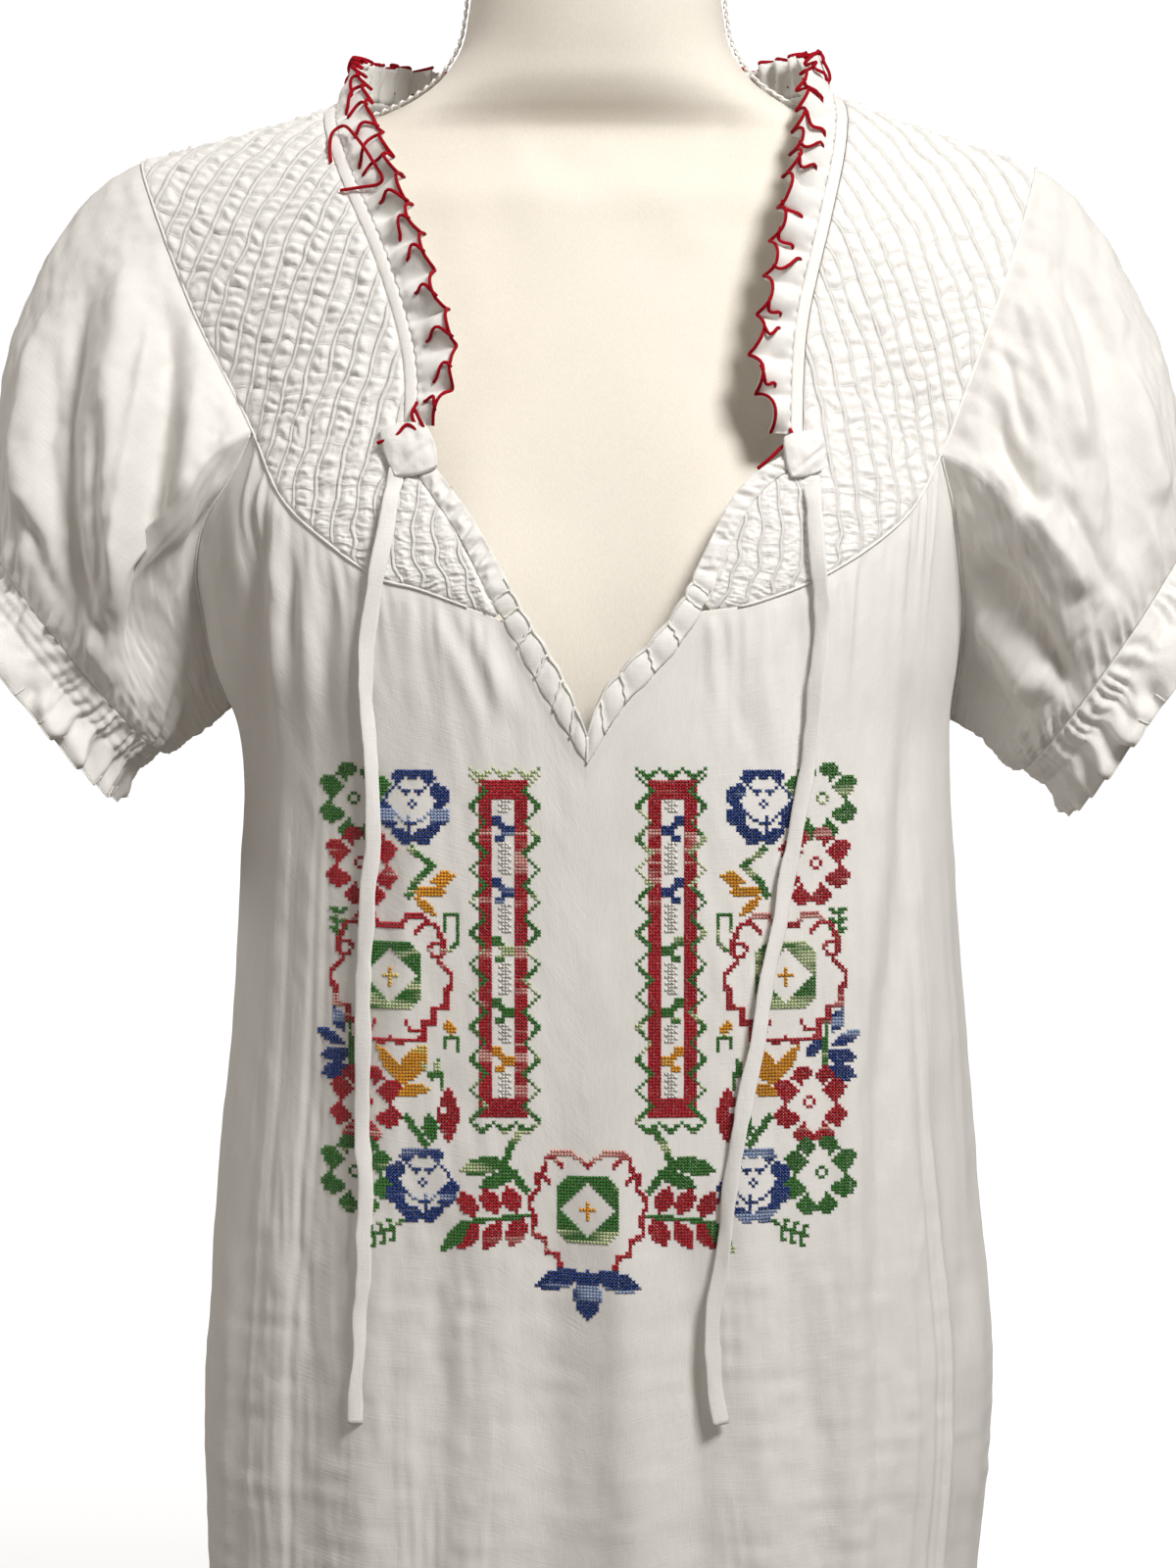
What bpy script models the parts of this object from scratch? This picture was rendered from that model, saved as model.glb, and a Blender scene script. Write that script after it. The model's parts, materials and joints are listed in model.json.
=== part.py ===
"""Short-sleeved smocked peasant blouse on a limbless dress form, in metres, +Z up.

The blouse faces -Y and the floor is the flat underside of the form at z = 0. Every cloth
piece is a wall between an outer and an inner sheet. The sheets are lofted between seam
curves that neighbouring pieces share, and each piece stops just short of its seam.
Tables are in millimetres, as seen by someone facing the blouse: left is -X.
"""

import math

import bpy
import bmesh
import numpy as np

MM = 0.001

# Cloth and seams
PANEL_WALL = 0.0015
YOKE_WALL = 0.0018
SLEEVE_WALL = 0.0015
FRILL_WALL = 0.0011
BAND_WALL = 0.0024
SEAM_GAP = 0.0005
HEM_HEIGHT = 0.055
SECTION_POWER = 2.5

# Smocking, gathers and frills
SMOCK_RAISE = 0.0016
YOKE_SWELL = 0.045
BODY_GATHERS = 22
GATHER_DEPTH = 0.0016
NECK_WAVES = 56
NECK_FRILL_WIDTH = 0.018
NECK_WAVE_DEPTH = 0.0030
BINDING_WIDTH = 0.0056
CUFF_WAVES = 25
CUFF_BAND_WIDTH = 0.012
CUFF_FRILL_WIDTH = 0.017
CUFF_WAVE_DEPTH = 0.0034
CUFF_FLARE = 0.005

# Ties and trim
TIE_WIDTH = 0.0070
TIE_WALL = 0.0012
TIE_STAND_OFF = 0.0050
TAB_WALL = 0.0024
TAB_LIFT = 0.0040
BRAID_RADIUS = 0.0016

# Segments along each seam stretch, shared by the pieces on both sides
SEG_FRONT_YOKE = 12
SEG_SHOULDER_FRONT = 8
SEG_SHOULDER_BACK = 7
SEG_BACK_YOKE = 18
SEG_RAGLAN = 5
SEG_SLIT_YOKE = 8
SEG_SLIT_PANEL = 3
ROWS_YOKE = 8
ROWS_FRONT = 9
ROWS_BACK = 8
ROWS_SLEEVE = 7

# Body of the blouse: height, left half width, right half width, front depth, back depth
BODY_RINGS = (
    (55, 177, 174, 127, 119),
    (118, 179, 177, 128, 121),
    (160, 180, 181, 129, 122),
    (207, 179, 182, 129, 122),
    (254, 176, 178, 130, 121),
    (301, 172, 174, 131, 120),
    (340, 168, 171, 131, 119),
    (382, 165, 168, 132, 118),
    (430, 163, 165, 132, 116),
    (468, 162, 163, 133, 114),
    (495, 166, 163, 133, 113),
    (520, 176, 166, 132, 112),
    (547, 181, 168, 130, 111),
    (570, 186, 170, 126, 110),
    (590, 186, 172, 121, 108),
    (612, 180, 173, 115, 105),
    (640, 175, 172, 107, 101),
)

# Neck line, from the left tie over the left shoulder and round the back: x, y, z
NECK_LINE = (
    (-84, -104, 617),
    (-85, -94, 654),
    (-97, -77, 696),
    (-116, -48, 741),
    (-125, -8, 770),
    (-119, 28, 779),
    (-92, 62, 779),
    (-48, 82, 774),
    (0, 88, 771),
    (46, 82, 775),
    (86, 62, 781),
    (110, 28, 783),
    (115, -8, 775),
    (113, -36, 753),
    (105, -65, 719),
    (94, -85, 674),
    (91, -94, 645),
    (90, -104, 612),
)
NECK_LEFT_SHOULDER = 4
NECK_RIGHT_SHOULDER = 12

# Lower edge of the smocked yoke, from the left of the slit round the back: x, y, z
YOKE_SEAM = (
    (-40, -130, 539),
    (-75, -125, 552),
    (-93, -119, 557),
    (-113, -110, 570),
    (-137, -92, 592),
    (-152, -68, 623),
    (-162, -60, 642),
    (-179, -47, 674),
    (-194, -31, 709),
    (-206, -13, 740),
    (-209, 4, 751),
    (-207, 24, 744),
    (-197, 45, 716),
    (-182, 60, 684),
    (-165, 71, 655),
    (-152, 77, 638),
    (-115, 92, 618),
    (-60, 103, 606),
    (0, 106, 602),
    (60, 103, 606),
    (115, 92, 616),
    (150, 77, 635),
    (162, 71, 652),
    (178, 60, 682),
    (191, 45, 712),
    (200, 24, 740),
    (203, 4, 748),
    (199, -13, 735),
    (189, -31, 704),
    (177, -47, 673),
    (163, -60, 637),
    (153, -69, 613),
    (136, -93, 585),
    (103, -115, 561),
    (69, -126, 547),
    (45, -130, 543),
)
SEAM_JOIN_LEFT = 5
SEAM_SHOULDER_LEFT = 10
SEAM_BACK_LEFT = 15
SEAM_BACK_RIGHT = 21
SEAM_SHOULDER_RIGHT = 26
SEAM_JOIN_RIGHT = 31

# Armhole seams, from the yoke down to the underarm: x, y, z
RAGLAN_FRONT_LEFT = (
    (-152, -68, 623), (-163, -64, 602), (-175, -56, 584), (-180, -45, 563),
    (-179, -33, 545), (-174, -15, 515), (-168, 0, 499),
)
RAGLAN_BACK_LEFT = (
    (-152, 77, 638), (-168, 69, 607), (-178, 57, 578), (-180, 38, 548),
    (-175, 16, 516), (-168, 0, 499),
)
RAGLAN_FRONT_RIGHT = (
    (153, -69, 613), (159, -62, 590), (163, -51, 565), (166, -38, 545),
    (166, -18, 518), (164, 0, 493),
)
RAGLAN_BACK_RIGHT = (
    (150, 77, 635), (160, 69, 604), (167, 54, 574), (169, 36, 546),
    (167, 16, 514), (164, 0, 493),
)

# Slit edges at the front, from the ties down to the point: x, z
SLIT_LEFT = ((-80, 619), (-54, 584), (-37, 554), (-31, 543), (-14, 515), (-4, 491))
SLIT_LEFT_OUTER = ((-86, 614), (-61, 578), (-46, 549), (-40, 539), (-24, 509), (-4, 477))
SLIT_RIGHT = ((87, 614), (70, 604), (58, 591), (47, 570), (36, 548), (24, 532),
              (13, 521), (2, 508), (-4, 491))
SLIT_RIGHT_OUTER = ((90, 608), (75, 598), (65, 586), (55, 566), (45, 543), (33, 525),
                    (22, 513), (10, 500), (-4, 477))
SLIT_YOKE_KNOTS_LEFT = 3
SLIT_YOKE_KNOTS_RIGHT = 4

# Sleeve puff: turn round the sleeve in degrees from the underarm by the front,
# then the push that leaves the armhole and the push that arrives at the cuff
PUFF_LEFT = (
    (0, (-10, 0, -8), (10, 0, 0)),
    (90, (-30, -26, -8), (8, -30, 28)),
    (180, (-51, 0, -16), (-11, 0, 67)),
    (270, (-30, 26, -8), (8, 30, 28)),
)
PUFF_RIGHT = (
    (0, (14, 0, -5), (-10, 0, 0)),
    (90, (32, -26, -8), (-8, -30, 28)),
    (180, (34, 0, -14), (12, 0, 72)),
    (270, (26, 26, -8), (-8, 30, 28)),
)
CUFF_LEFT_HIGH = (-278, 0, 574)
CUFF_LEFT_LOW = (-202, 0, 479)
CUFF_RIGHT_HIGH = (272, 0, 578)
CUFF_RIGHT_LOW = (198, 0, 471)
CUFF_HALF_DEPTH = 48

# Large folds seen from the front: half width, height (a trough is negative), then x, z
FRONT_FOLDS = (
    (9, -4.0, ((-146, 590), (-150, 560), (-150, 520), (-148, 470))),
    (10, 3.0, ((-130, 575), (-132, 530), (-134, 470))),
    (12, -2.5, ((-118, 565), (-118, 520), (-116, 460))),
    (15, -4.0, ((-22, 310), (-24, 240), (-22, 170), (-20, 60))),
    (16, 3.0, ((8, 300), (12, 220), (16, 60))),
    (14, 3.0, ((120, 240), (138, 160), (150, 60))),
    (14, -3.5, ((92, 220), (112, 140), (126, 60))),
    (13, -3.0, ((-120, 330), (-128, 220), (-134, 60))),
    (13, 3.0, ((-92, 300), (-98, 200), (-102, 60))),
)
BACK_FOLDS = (
    (14, -4.0, ((-90, 600), (-96, 450), (-104, 60))),
    (14, 3.5, ((-50, 600), (-55, 420), (-58, 60))),
    (15, -4.0, ((-8, 600), (-10, 350), (-6, 60))),
    (14, 3.5, ((42, 600), (46, 400), (52, 60))),
    (14, -4.0, ((90, 600), (98, 430), (108, 60))),
)
SLEEVE_FOLDS_LEFT = (
    (9, -6.0, ((-196, 700), (-192, 665), (-200, 610), (-203, 540), (-206, 505))),
    (12, 5.0, ((-222, 725), (-224, 650), (-226, 580), (-224, 525))),
    (9, -5.0, ((-241, 705), (-256, 630), (-252, 570), (-241, 540))),
)
SLEEVE_FOLDS_RIGHT = (
    (8, -6.0, ((180, 622), (186, 604), (192, 590))),
    (8, 5.0, ((182, 596), (200, 576), (214, 556))),
    (10, -5.0, ((216, 722), (234, 655), (240, 590), (238, 545))),
    (8, -4.5, ((176, 556), (196, 530), (220, 500))),
    (8, 4.0, ((168, 530), (188, 505), (208, 488))),
)

# Dress form: height, half width, front depth, back depth, bust fullness
FORM_RINGS = (
    (0, 150, 104, 100, 0),
    (8, 155, 109, 104, 0),
    (100, 157, 111, 108, 0),
    (200, 155, 110, 108, 0),
    (300, 143, 98, 94, 0),
    (380, 122, 86, 80, 0),
    (440, 130, 94, 84, 4),
    (500, 142, 106, 90, 13),
    (550, 150, 104, 92, 13),
    (600, 158, 93, 90, 6),
    (650, 168, 79, 84, 0),
    (690, 176, 64, 74, 0),
    (715, 178, 54, 64, 0),
    (732, 174, 48, 57, 0),
    (744, 168, 40, 51, 0),
    (752, 161, 36, 48, 0),
    (758, 149, 34, 47, 0),
    (763, 128, 34, 47, 0),
    (768, 108, 37, 48, 0),
    (774, 92, 42, 50, 0),
    (782, 78, 47, 52, 0),
    (796, 65, 50, 54, 0),
    (820, 58, 53, 56, 0),
    (850, 57, 54, 56, 0),
    (878, 57, 54, 56, 0),
    (884, 54, 51, 53, 0),
    (887, 44, 42, 44, 0),
)
FORM_SIDES = 24
FORM_POWER = 2.15
BRAID_HEIGHTS = (872, 850, 830, 818, 809, 802, 796, 791, 786, 782, 777, 772, 768, 764, 761,
                 758, 755, 751)

# Ties, from the tab down to the bare end: x, z, then the turn of the tape in degrees
TIE_LEFT = (
    (-86, 605.2, 0), (-92, 572, 10), (-98, 536, 25), (-99, 503, 35), (-97, 473, 20),
    (-97, 440, 5), (-100, 406, -10), (-101, 363, -20), (-102, 321, -10), (-100, 296, 5),
    (-101, 257, 20), (-103, 220, 30), (-105, 190, 10),
)
TIE_RIGHT = (
    (93, 601.7, 0), (95, 570, -10), (97, 545, -25), (95, 511, -30), (91, 477, -15),
    (85, 444, 0), (80, 414, 10), (74, 385, 20), (68, 351, 10), (62, 321, -5),
    (57, 291, -20), (54, 262, -30), (50, 240, -10), (50, 220, 10), (54, 192, 20),
)


def remove_scene_objects():
    """Empty the scene object by object."""
    for item in list(bpy.data.objects):
        bpy.data.objects.remove(item, do_unlink=True)


def material(name, colour, roughness):
    """A Principled BSDF of one colour."""
    made = bpy.data.materials.new(name)
    made.use_nodes = True
    shader = made.node_tree.nodes["Principled BSDF"]
    shader.inputs["Base Color"].default_value = (*colour, 1.0)
    shader.inputs["Roughness"].default_value = roughness
    shader.inputs["Metallic"].default_value = 0.0
    made.diffuse_color = (*colour, 1.0)
    return made


def smooth_step(x):
    """0 below 0, 1 above 1, with an eased slope between."""
    x = np.clip(x, 0.0, 1.0)
    return x * x * (3.0 - 2.0 * x)


def lookup(table, column, where):
    """Smooth value of a table's column at the given first-column values."""
    xs = np.array([row[0] for row in table], float)
    ys = np.array([row[column] for row in table], float)
    where = np.clip(np.asarray(where, float), xs[0], xs[-1])
    slope = np.gradient(ys, xs)
    k = np.clip(np.searchsorted(xs, where) - 1, 0, len(xs) - 2)
    span = xs[k + 1] - xs[k]
    t = (where - xs[k]) / span
    a = (1 + 2 * t) * (1 - t) ** 2 * ys[k] + t * (1 - t) ** 2 * span * slope[k]
    b = t * t * (3 - 2 * t) * ys[k + 1] + t * t * (t - 1) * span * slope[k + 1]
    return a + b


def spline(points, first=0, last=None, fine=24):
    """Dense Catmull-Rom line through a table's points, between two of its rows."""
    pts = np.array(points, float)
    last = len(pts) - 1 if last is None else last
    before = 2 * pts[0] - pts[1]
    after = 2 * pts[-1] - pts[-2]
    ext = np.vstack([before, pts, after])
    out = []
    for k in range(first, last):
        p0, p1, p2, p3 = ext[k], ext[k + 1], ext[k + 2], ext[k + 3]
        for t in np.linspace(0, 1, fine, endpoint=False):
            out.append(0.5 * (2 * p1 + (p2 - p0) * t
                              + (2 * p0 - 5 * p1 + 4 * p2 - p3) * t * t
                              + (3 * p1 - p0 - 3 * p2 + p3) * t ** 3))
    out.append(pts[last])
    return np.array(out)


def evenly(line, pieces):
    """Points that cut a dense line into equal lengths."""
    step = np.linalg.norm(np.diff(line, axis=0), axis=1)
    along = np.concatenate([[0.0], np.cumsum(step)])
    at = np.linspace(0.0, along[-1], pieces + 1)
    return np.column_stack([np.interp(at, along, line[:, c]) for c in range(line.shape[1])])


def unit(vectors):
    """Vectors scaled to length one."""
    length = np.linalg.norm(vectors, axis=-1, keepdims=True)
    return vectors / np.maximum(length, 1e-12)


def body_point(turn, height):
    """Blouse body at a turn (0 left side, 90 front, 180 right side, 270 back), in mm."""
    turn = np.asarray(turn, float)
    cos = -np.cos(np.radians(turn))
    sin = np.sin(np.radians(turn))
    left = lookup(BODY_RINGS, 1, height)
    right = lookup(BODY_RINGS, 2, height)
    front = lookup(BODY_RINGS, 3, height)
    back = lookup(BODY_RINGS, 4, height)
    e = 2.0 / SECTION_POWER
    x = np.where(cos < 0, left, right) * np.sign(cos) * np.abs(cos) ** e
    y = -np.where(sin > 0, front, back) * np.sign(sin) * np.abs(sin) ** e
    return np.stack([x, y, height + 0 * x], axis=-1)


def body_turn(x, height, back=False):
    """Turn at which the body has the given x at the given height."""
    x = np.asarray(x, float)
    half = np.where(x < 0, lookup(BODY_RINGS, 1, height), lookup(BODY_RINGS, 2, height))
    cos = np.clip(np.abs(x) / half, 0, 1) ** (SECTION_POWER / 2.0)
    turn = np.degrees(np.arccos(np.where(x < 0, cos, -cos)))
    return 360.0 - turn if back else turn


def front_depth(x, height):
    """y of the blouse front at x and height, in mm."""
    return body_point(body_turn(x, height), np.asarray(height, float))[..., 1]


def line_distance(x, z, path):
    """Distance from points to a broken line in the x, z plane, and the share along it."""
    best = np.full(np.shape(x), 1e9)
    share = np.zeros(np.shape(x))
    path = np.array(path, float)
    for k in range(len(path) - 1):
        a, d = path[k], path[k + 1] - path[k]
        t = np.clip(((x - a[0]) * d[0] + (z - a[1]) * d[1]) / (d @ d), 0, 1)
        gap = np.hypot(x - a[0] - t * d[0], z - a[1] - t * d[1])
        nearer = gap < best
        best = np.where(nearer, gap, best)
        share = np.where(nearer, (k + t) / (len(path) - 1), share)
    return best, share


def fold_height(x, z, folds):
    """Sum of soft ridges and troughs along their paths, in mm."""
    total = np.zeros(np.shape(x))
    for width, height, path in folds:
        gap, share = line_distance(x, z, path)
        fade = smooth_step(share * 4 + 0.15)
        total = total + height * fade * np.exp(-(gap / width) ** 2)
    return total


def grid_normals(grid, closed):
    """Outward normal at each point of a grid, from its neighbours."""
    if closed:
        du = np.roll(grid, -1, axis=0) - np.roll(grid, 1, axis=0)
    else:
        du = np.gradient(grid, axis=0)
    dv = np.gradient(grid, axis=1)
    return unit(np.cross(du, dv))


def rim_offset(points, normals, gap, closed_loop):
    """Moves that pull a rim inwards, square to both edges that meet at each point.

    The piece lies to the left of the rim as it runs, seen from outside.
    """
    count = len(points)
    moves = np.zeros_like(points)
    for i in range(count):
        before = points[i] - points[i - 1]
        after = points[(i + 1) % count] - points[i]
        if not closed_loop and i == 0:
            before = after
        if not closed_loop and i == count - 1:
            after = before
        n = normals[i]
        d1 = unit(np.cross(n, before))
        d2 = unit(np.cross(n, after))
        both = d1 + d2
        share = max(0.35, 0.5 * float(both @ both))
        moves[i] = both * gap / share
    return moves


def wall(name, outer, inner, closed, look, smooth=True):
    """Closed wall between an outer and an inner grid, with rims on its open edges."""
    nu, nv = outer.shape[:2]
    count = nu * nv
    mesh = bpy.data.meshes.new(name)
    bm = bmesh.new()
    verts = [bm.verts.new(p) for p in outer.reshape(-1, 3)]
    verts += [bm.verts.new(p) for p in inner.reshape(-1, 3)]

    def at(i, j, side):
        return verts[side * count + (i % nu) * nv + j]

    across = nu if closed else nu - 1
    for i in range(across):
        for j in range(nv - 1):
            bm.faces.new((at(i, j, 0), at(i + 1, j, 0), at(i + 1, j + 1, 0), at(i, j + 1, 0)))
            bm.faces.new((at(i, j, 1), at(i, j + 1, 1), at(i + 1, j + 1, 1), at(i + 1, j, 1)))
        bm.faces.new((at(i, 0, 0), at(i, 0, 1), at(i + 1, 0, 1), at(i + 1, 0, 0)))
        last = nv - 1
        bm.faces.new((at(i, last, 0), at(i + 1, last, 0), at(i + 1, last, 1), at(i, last, 1)))
    if not closed:
        for j in range(nv - 1):
            bm.faces.new((at(0, j, 0), at(0, j + 1, 0), at(0, j + 1, 1), at(0, j, 1)))
            i = nu - 1
            bm.faces.new((at(i, j, 0), at(i, j, 1), at(i, j + 1, 1), at(i, j + 1, 0)))
    bmesh.ops.remove_doubles(bm, verts=bm.verts, dist=1e-7)
    bmesh.ops.dissolve_degenerate(bm, edges=bm.edges, dist=1e-7)
    bmesh.ops.recalc_face_normals(bm, faces=bm.faces)
    bm.to_mesh(mesh)
    bm.free()
    if smooth:
        mesh.shade_smooth()
    mesh.materials.append(look)
    return bpy.data.objects.new(name, mesh)


class Seams:
    """Seam curves cut into points that neighbouring pieces share, in metres."""

    def __init__(self):
        def cut(table, first, last, pieces):
            return evenly(spline(table, first, last), pieces) * MM

        s = [list(row) for row in YOKE_SEAM]
        for row in s[:SEAM_JOIN_LEFT + 1] + s[SEAM_JOIN_RIGHT:]:
            row[1] = float(front_depth(row[0], row[2]))
        raglan_left = [s[SEAM_JOIN_LEFT], *RAGLAN_FRONT_LEFT[1:]]
        raglan_right = [s[SEAM_JOIN_RIGHT], *RAGLAN_FRONT_RIGHT[1:]]
        self.front_left = cut(s, 0, SEAM_JOIN_LEFT, SEG_FRONT_YOKE)
        self.over_left_front = cut(s, SEAM_JOIN_LEFT, SEAM_SHOULDER_LEFT, SEG_SHOULDER_FRONT)
        self.over_left_back = cut(s, SEAM_SHOULDER_LEFT, SEAM_BACK_LEFT, SEG_SHOULDER_BACK)
        self.back = cut(s, SEAM_BACK_LEFT, SEAM_BACK_RIGHT, SEG_BACK_YOKE)
        self.over_right_back = cut(s, SEAM_BACK_RIGHT, SEAM_SHOULDER_RIGHT, SEG_SHOULDER_BACK)
        self.over_right_front = cut(s, SEAM_SHOULDER_RIGHT, SEAM_JOIN_RIGHT,
                                    SEG_SHOULDER_FRONT)
        self.front_right = cut(s, SEAM_JOIN_RIGHT, len(s) - 1, SEG_FRONT_YOKE)
        self.outer = np.vstack([self.front_left, self.over_left_front[1:],
                                self.over_left_back[1:], self.back[1:],
                                self.over_right_back[1:], self.over_right_front[1:],
                                self.front_right[1:]])
        side = SEG_FRONT_YOKE + SEG_SHOULDER_FRONT - SEG_SLIT_YOKE
        rear = 2 * SEG_SHOULDER_BACK + SEG_BACK_YOKE
        neck = [cut(NECK_LINE, 0, NECK_LEFT_SHOULDER, side),
                cut(NECK_LINE, NECK_LEFT_SHOULDER, NECK_RIGHT_SHOULDER, rear)[1:],
                cut(NECK_LINE, NECK_RIGHT_SHOULDER, len(NECK_LINE) - 1, side)[1:]]
        self.neck = np.vstack(neck)
        self.raglan_front_left = cut(raglan_left, 0, None, SEG_RAGLAN)
        self.raglan_back_left = cut(RAGLAN_BACK_LEFT, 0, None, SEG_RAGLAN)
        self.raglan_front_right = cut(raglan_right, 0, None, SEG_RAGLAN)
        self.raglan_back_right = cut(RAGLAN_BACK_RIGHT, 0, None, SEG_RAGLAN)

        def slit(table, knots):
            upper = evenly(spline(table, 0, knots), SEG_SLIT_YOKE)
            lower = evenly(spline(table, knots, None), SEG_SLIT_PANEL)
            flat = np.vstack([upper, lower[1:]])
            y = front_depth(flat[:, 0], flat[:, 1])
            return np.column_stack([flat[:, 0], y, flat[:, 1]]) * MM

        self.slit_left = slit(SLIT_LEFT, SLIT_YOKE_KNOTS_LEFT)
        self.slit_left_outer = slit(SLIT_LEFT_OUTER, SLIT_YOKE_KNOTS_LEFT)
        self.slit_right = slit(SLIT_RIGHT, SLIT_YOKE_KNOTS_RIGHT)
        self.slit_right_outer = slit(SLIT_RIGHT_OUTER, SLIT_YOKE_KNOTS_RIGHT)
        self.slit_left_outer[SEG_SLIT_YOKE] = self.front_left[0]
        self.slit_right_outer[SEG_SLIT_YOKE] = self.front_right[-1]
        self.slit_left_outer[0] = self.neck[0]
        self.slit_right_outer[0] = self.neck[-1]
        yoke_slit_left = self.slit_left_outer[:SEG_SLIT_YOKE + 1]
        yoke_slit_right = self.slit_right_outer[:SEG_SLIT_YOKE + 1]
        self.inner = np.vstack([yoke_slit_left[::-1], self.neck[1:-1], yoke_slit_right])


def yoke_grid(seams):
    """Plain yoke: ruled from the neck and slit edges to the seam, swelled a little.

    It narrows to a point where the slit meets the seam, at both of its ends.
    """
    v = np.linspace(0, 1, ROWS_YOKE + 1)[None, :, None]
    grid = seams.inner[:, None] * (1 - v) + seams.outer[:, None] * v
    width = np.linalg.norm(seams.outer - seams.inner, axis=1)[:, None, None]
    shoulder = SEG_FRONT_YOKE + SEG_SHOULDER_FRONT
    column = np.arange(len(grid))
    near = np.minimum(abs(column - shoulder), abs(column - (len(grid) - 1 - shoulder)))
    flat = 1 - 0.95 * np.exp(-(near / 3.0) ** 2)[:, None, None]
    swell = 4 * v * (1 - v) * width * YOKE_SWELL * flat
    normal = grid_normals(grid, False)
    normal[0] = normal[1]
    normal[-1] = normal[-2]
    return grid + normal * swell


def panel_grid(top, rows, back, folds, gather_from, gather_to):
    """Body panel: each column follows the body surface from its seam point to the hem."""
    top_mm = top / MM
    turn = body_turn(top_mm[:, 0], top_mm[:, 2], back)
    count = len(top)
    even = np.linspace(turn[0], turn[-1], count)
    share = np.linspace(0, 1, rows + 1) ** 1.35
    turns = turn[:, None] + (even - turn)[:, None] * 0.35 * share[None]
    heights = top_mm[:, 2][:, None] * (1 - share) + HEM_HEIGHT / MM * share
    grid = body_point(turns, heights)
    start = body_point(turn, top_mm[:, 2])
    fade = np.maximum(0, 1 - share * 3.0) ** 2
    grid = grid + (top_mm - start)[:, None] * fade[None, :, None]
    normal = grid_normals(grid, False)
    below = top_mm[:, 2][:, None] - heights
    wave = np.cos(np.arange(count) * math.pi)[:, None]
    reach = smooth_step(below / 12.0) * np.exp(-below / 70.0)
    inside = np.zeros(count)
    inside[gather_from:gather_to + 1] = 1.0
    gather = wave * reach * inside[:, None] * GATHER_DEPTH / MM
    rise = fold_height(grid[..., 0], grid[..., 2], folds) * smooth_step(below / 30.0)
    edge = smooth_step(np.minimum(np.arange(count), np.arange(count)[::-1]) / 2.0)
    return (grid + normal * (gather + rise * edge[:, None])[..., None]) * MM


def with_middles(line, closed):
    """A line's points with the middle of each chord put between them."""
    after = np.roll(line, -1, axis=0)
    both = np.stack([line, (line + after) / 2], axis=1).reshape(-1, line.shape[1])
    return both if closed else both[:-1]


def puff_push(table, turn, column):
    """Push at a turn round the sleeve, eased between the table's rows."""
    turn = np.mod(turn, 360.0)
    k = np.minimum((turn // 90).astype(int), 3)
    t = smooth_step((turn - 90 * k) / 90.0)[:, None]
    rows = np.array([row[column] for row in table], float)
    return rows[k] * (1 - t) + rows[(k + 1) % 4] * t


def cuff_ring(high, low, turn):
    """Ellipse of the cuff, 0 at its low inner end and 90 at the front, in mm."""
    high = np.array(high, float)
    low = np.array(low, float)
    centre = (high + low) / 2
    along = (high - low) / 2
    turn = np.radians(turn)[:, None]
    front = np.array([0.0, -CUFF_HALF_DEPTH, 0.0])
    return centre - along * np.cos(turn) + front * np.sin(turn)


def sleeve_grid(ring, puff, high, low, folds):
    """Puffed sleeve: a curve from each armhole point to its point on the cuff."""
    first = with_middles(ring, True) / MM
    count = len(first)
    knots = np.array([0, SEG_RAGLAN, SEG_RAGLAN + SEG_SHOULDER_FRONT,
                      SEG_RAGLAN + SEG_SHOULDER_FRONT + SEG_SHOULDER_BACK,
                      2 * SEG_RAGLAN + SEG_SHOULDER_FRONT + SEG_SHOULDER_BACK]) * 2
    turn = np.interp(np.arange(count), knots, [0, 82, 180, 278, 360])
    last = cuff_ring(high, low, np.arange(count) * 360.0 / count)
    out = first + puff_push(puff, turn, 1)
    arrive = last + puff_push(puff, turn, 2)
    t = (np.linspace(0, 1, ROWS_SLEEVE + 1))[None, :, None]
    grid = ((1 - t) ** 3 * first[:, None] + 3 * (1 - t) ** 2 * t * out[:, None]
            + 3 * (1 - t) * t * t * arrive[:, None] + t ** 3 * last[:, None])
    normal = grid_normals(grid, True)
    if np.mean(normal[..., 1] * grid[..., 1]) < 0:
        normal = -normal
    facing = smooth_step(-normal[..., 1] * 2.5 + 0.2)
    share = np.linspace(0, 1, ROWS_SLEEVE + 1)[None]
    ends = smooth_step(share * 5) * smooth_step((1 - share) * 5)
    front = fold_height(grid[..., 0], grid[..., 2], folds) * facing
    rear = fold_height(grid[..., 0], grid[..., 2] + 8, folds) * smooth_step(
        normal[..., 1] * 2.5 + 0.2)
    wave = np.where(np.arange(count) % 2 == 0, 1.0, -1.0)[:, None]
    near_ends = smooth_step(share * 9) * np.exp(-share * 7)
    near_ends = near_ends + smooth_step((1 - share) * 9) * np.exp(-(1 - share) * 7)
    quiet = smooth_step((turn - 40) / 30.0) * smooth_step((320 - turn) / 30.0)
    gather = wave * near_ends * GATHER_DEPTH / MM * 1.6 * quiet[:, None]
    return (grid + normal * ((front + rear) * ends + gather)[..., None]) * MM


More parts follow.
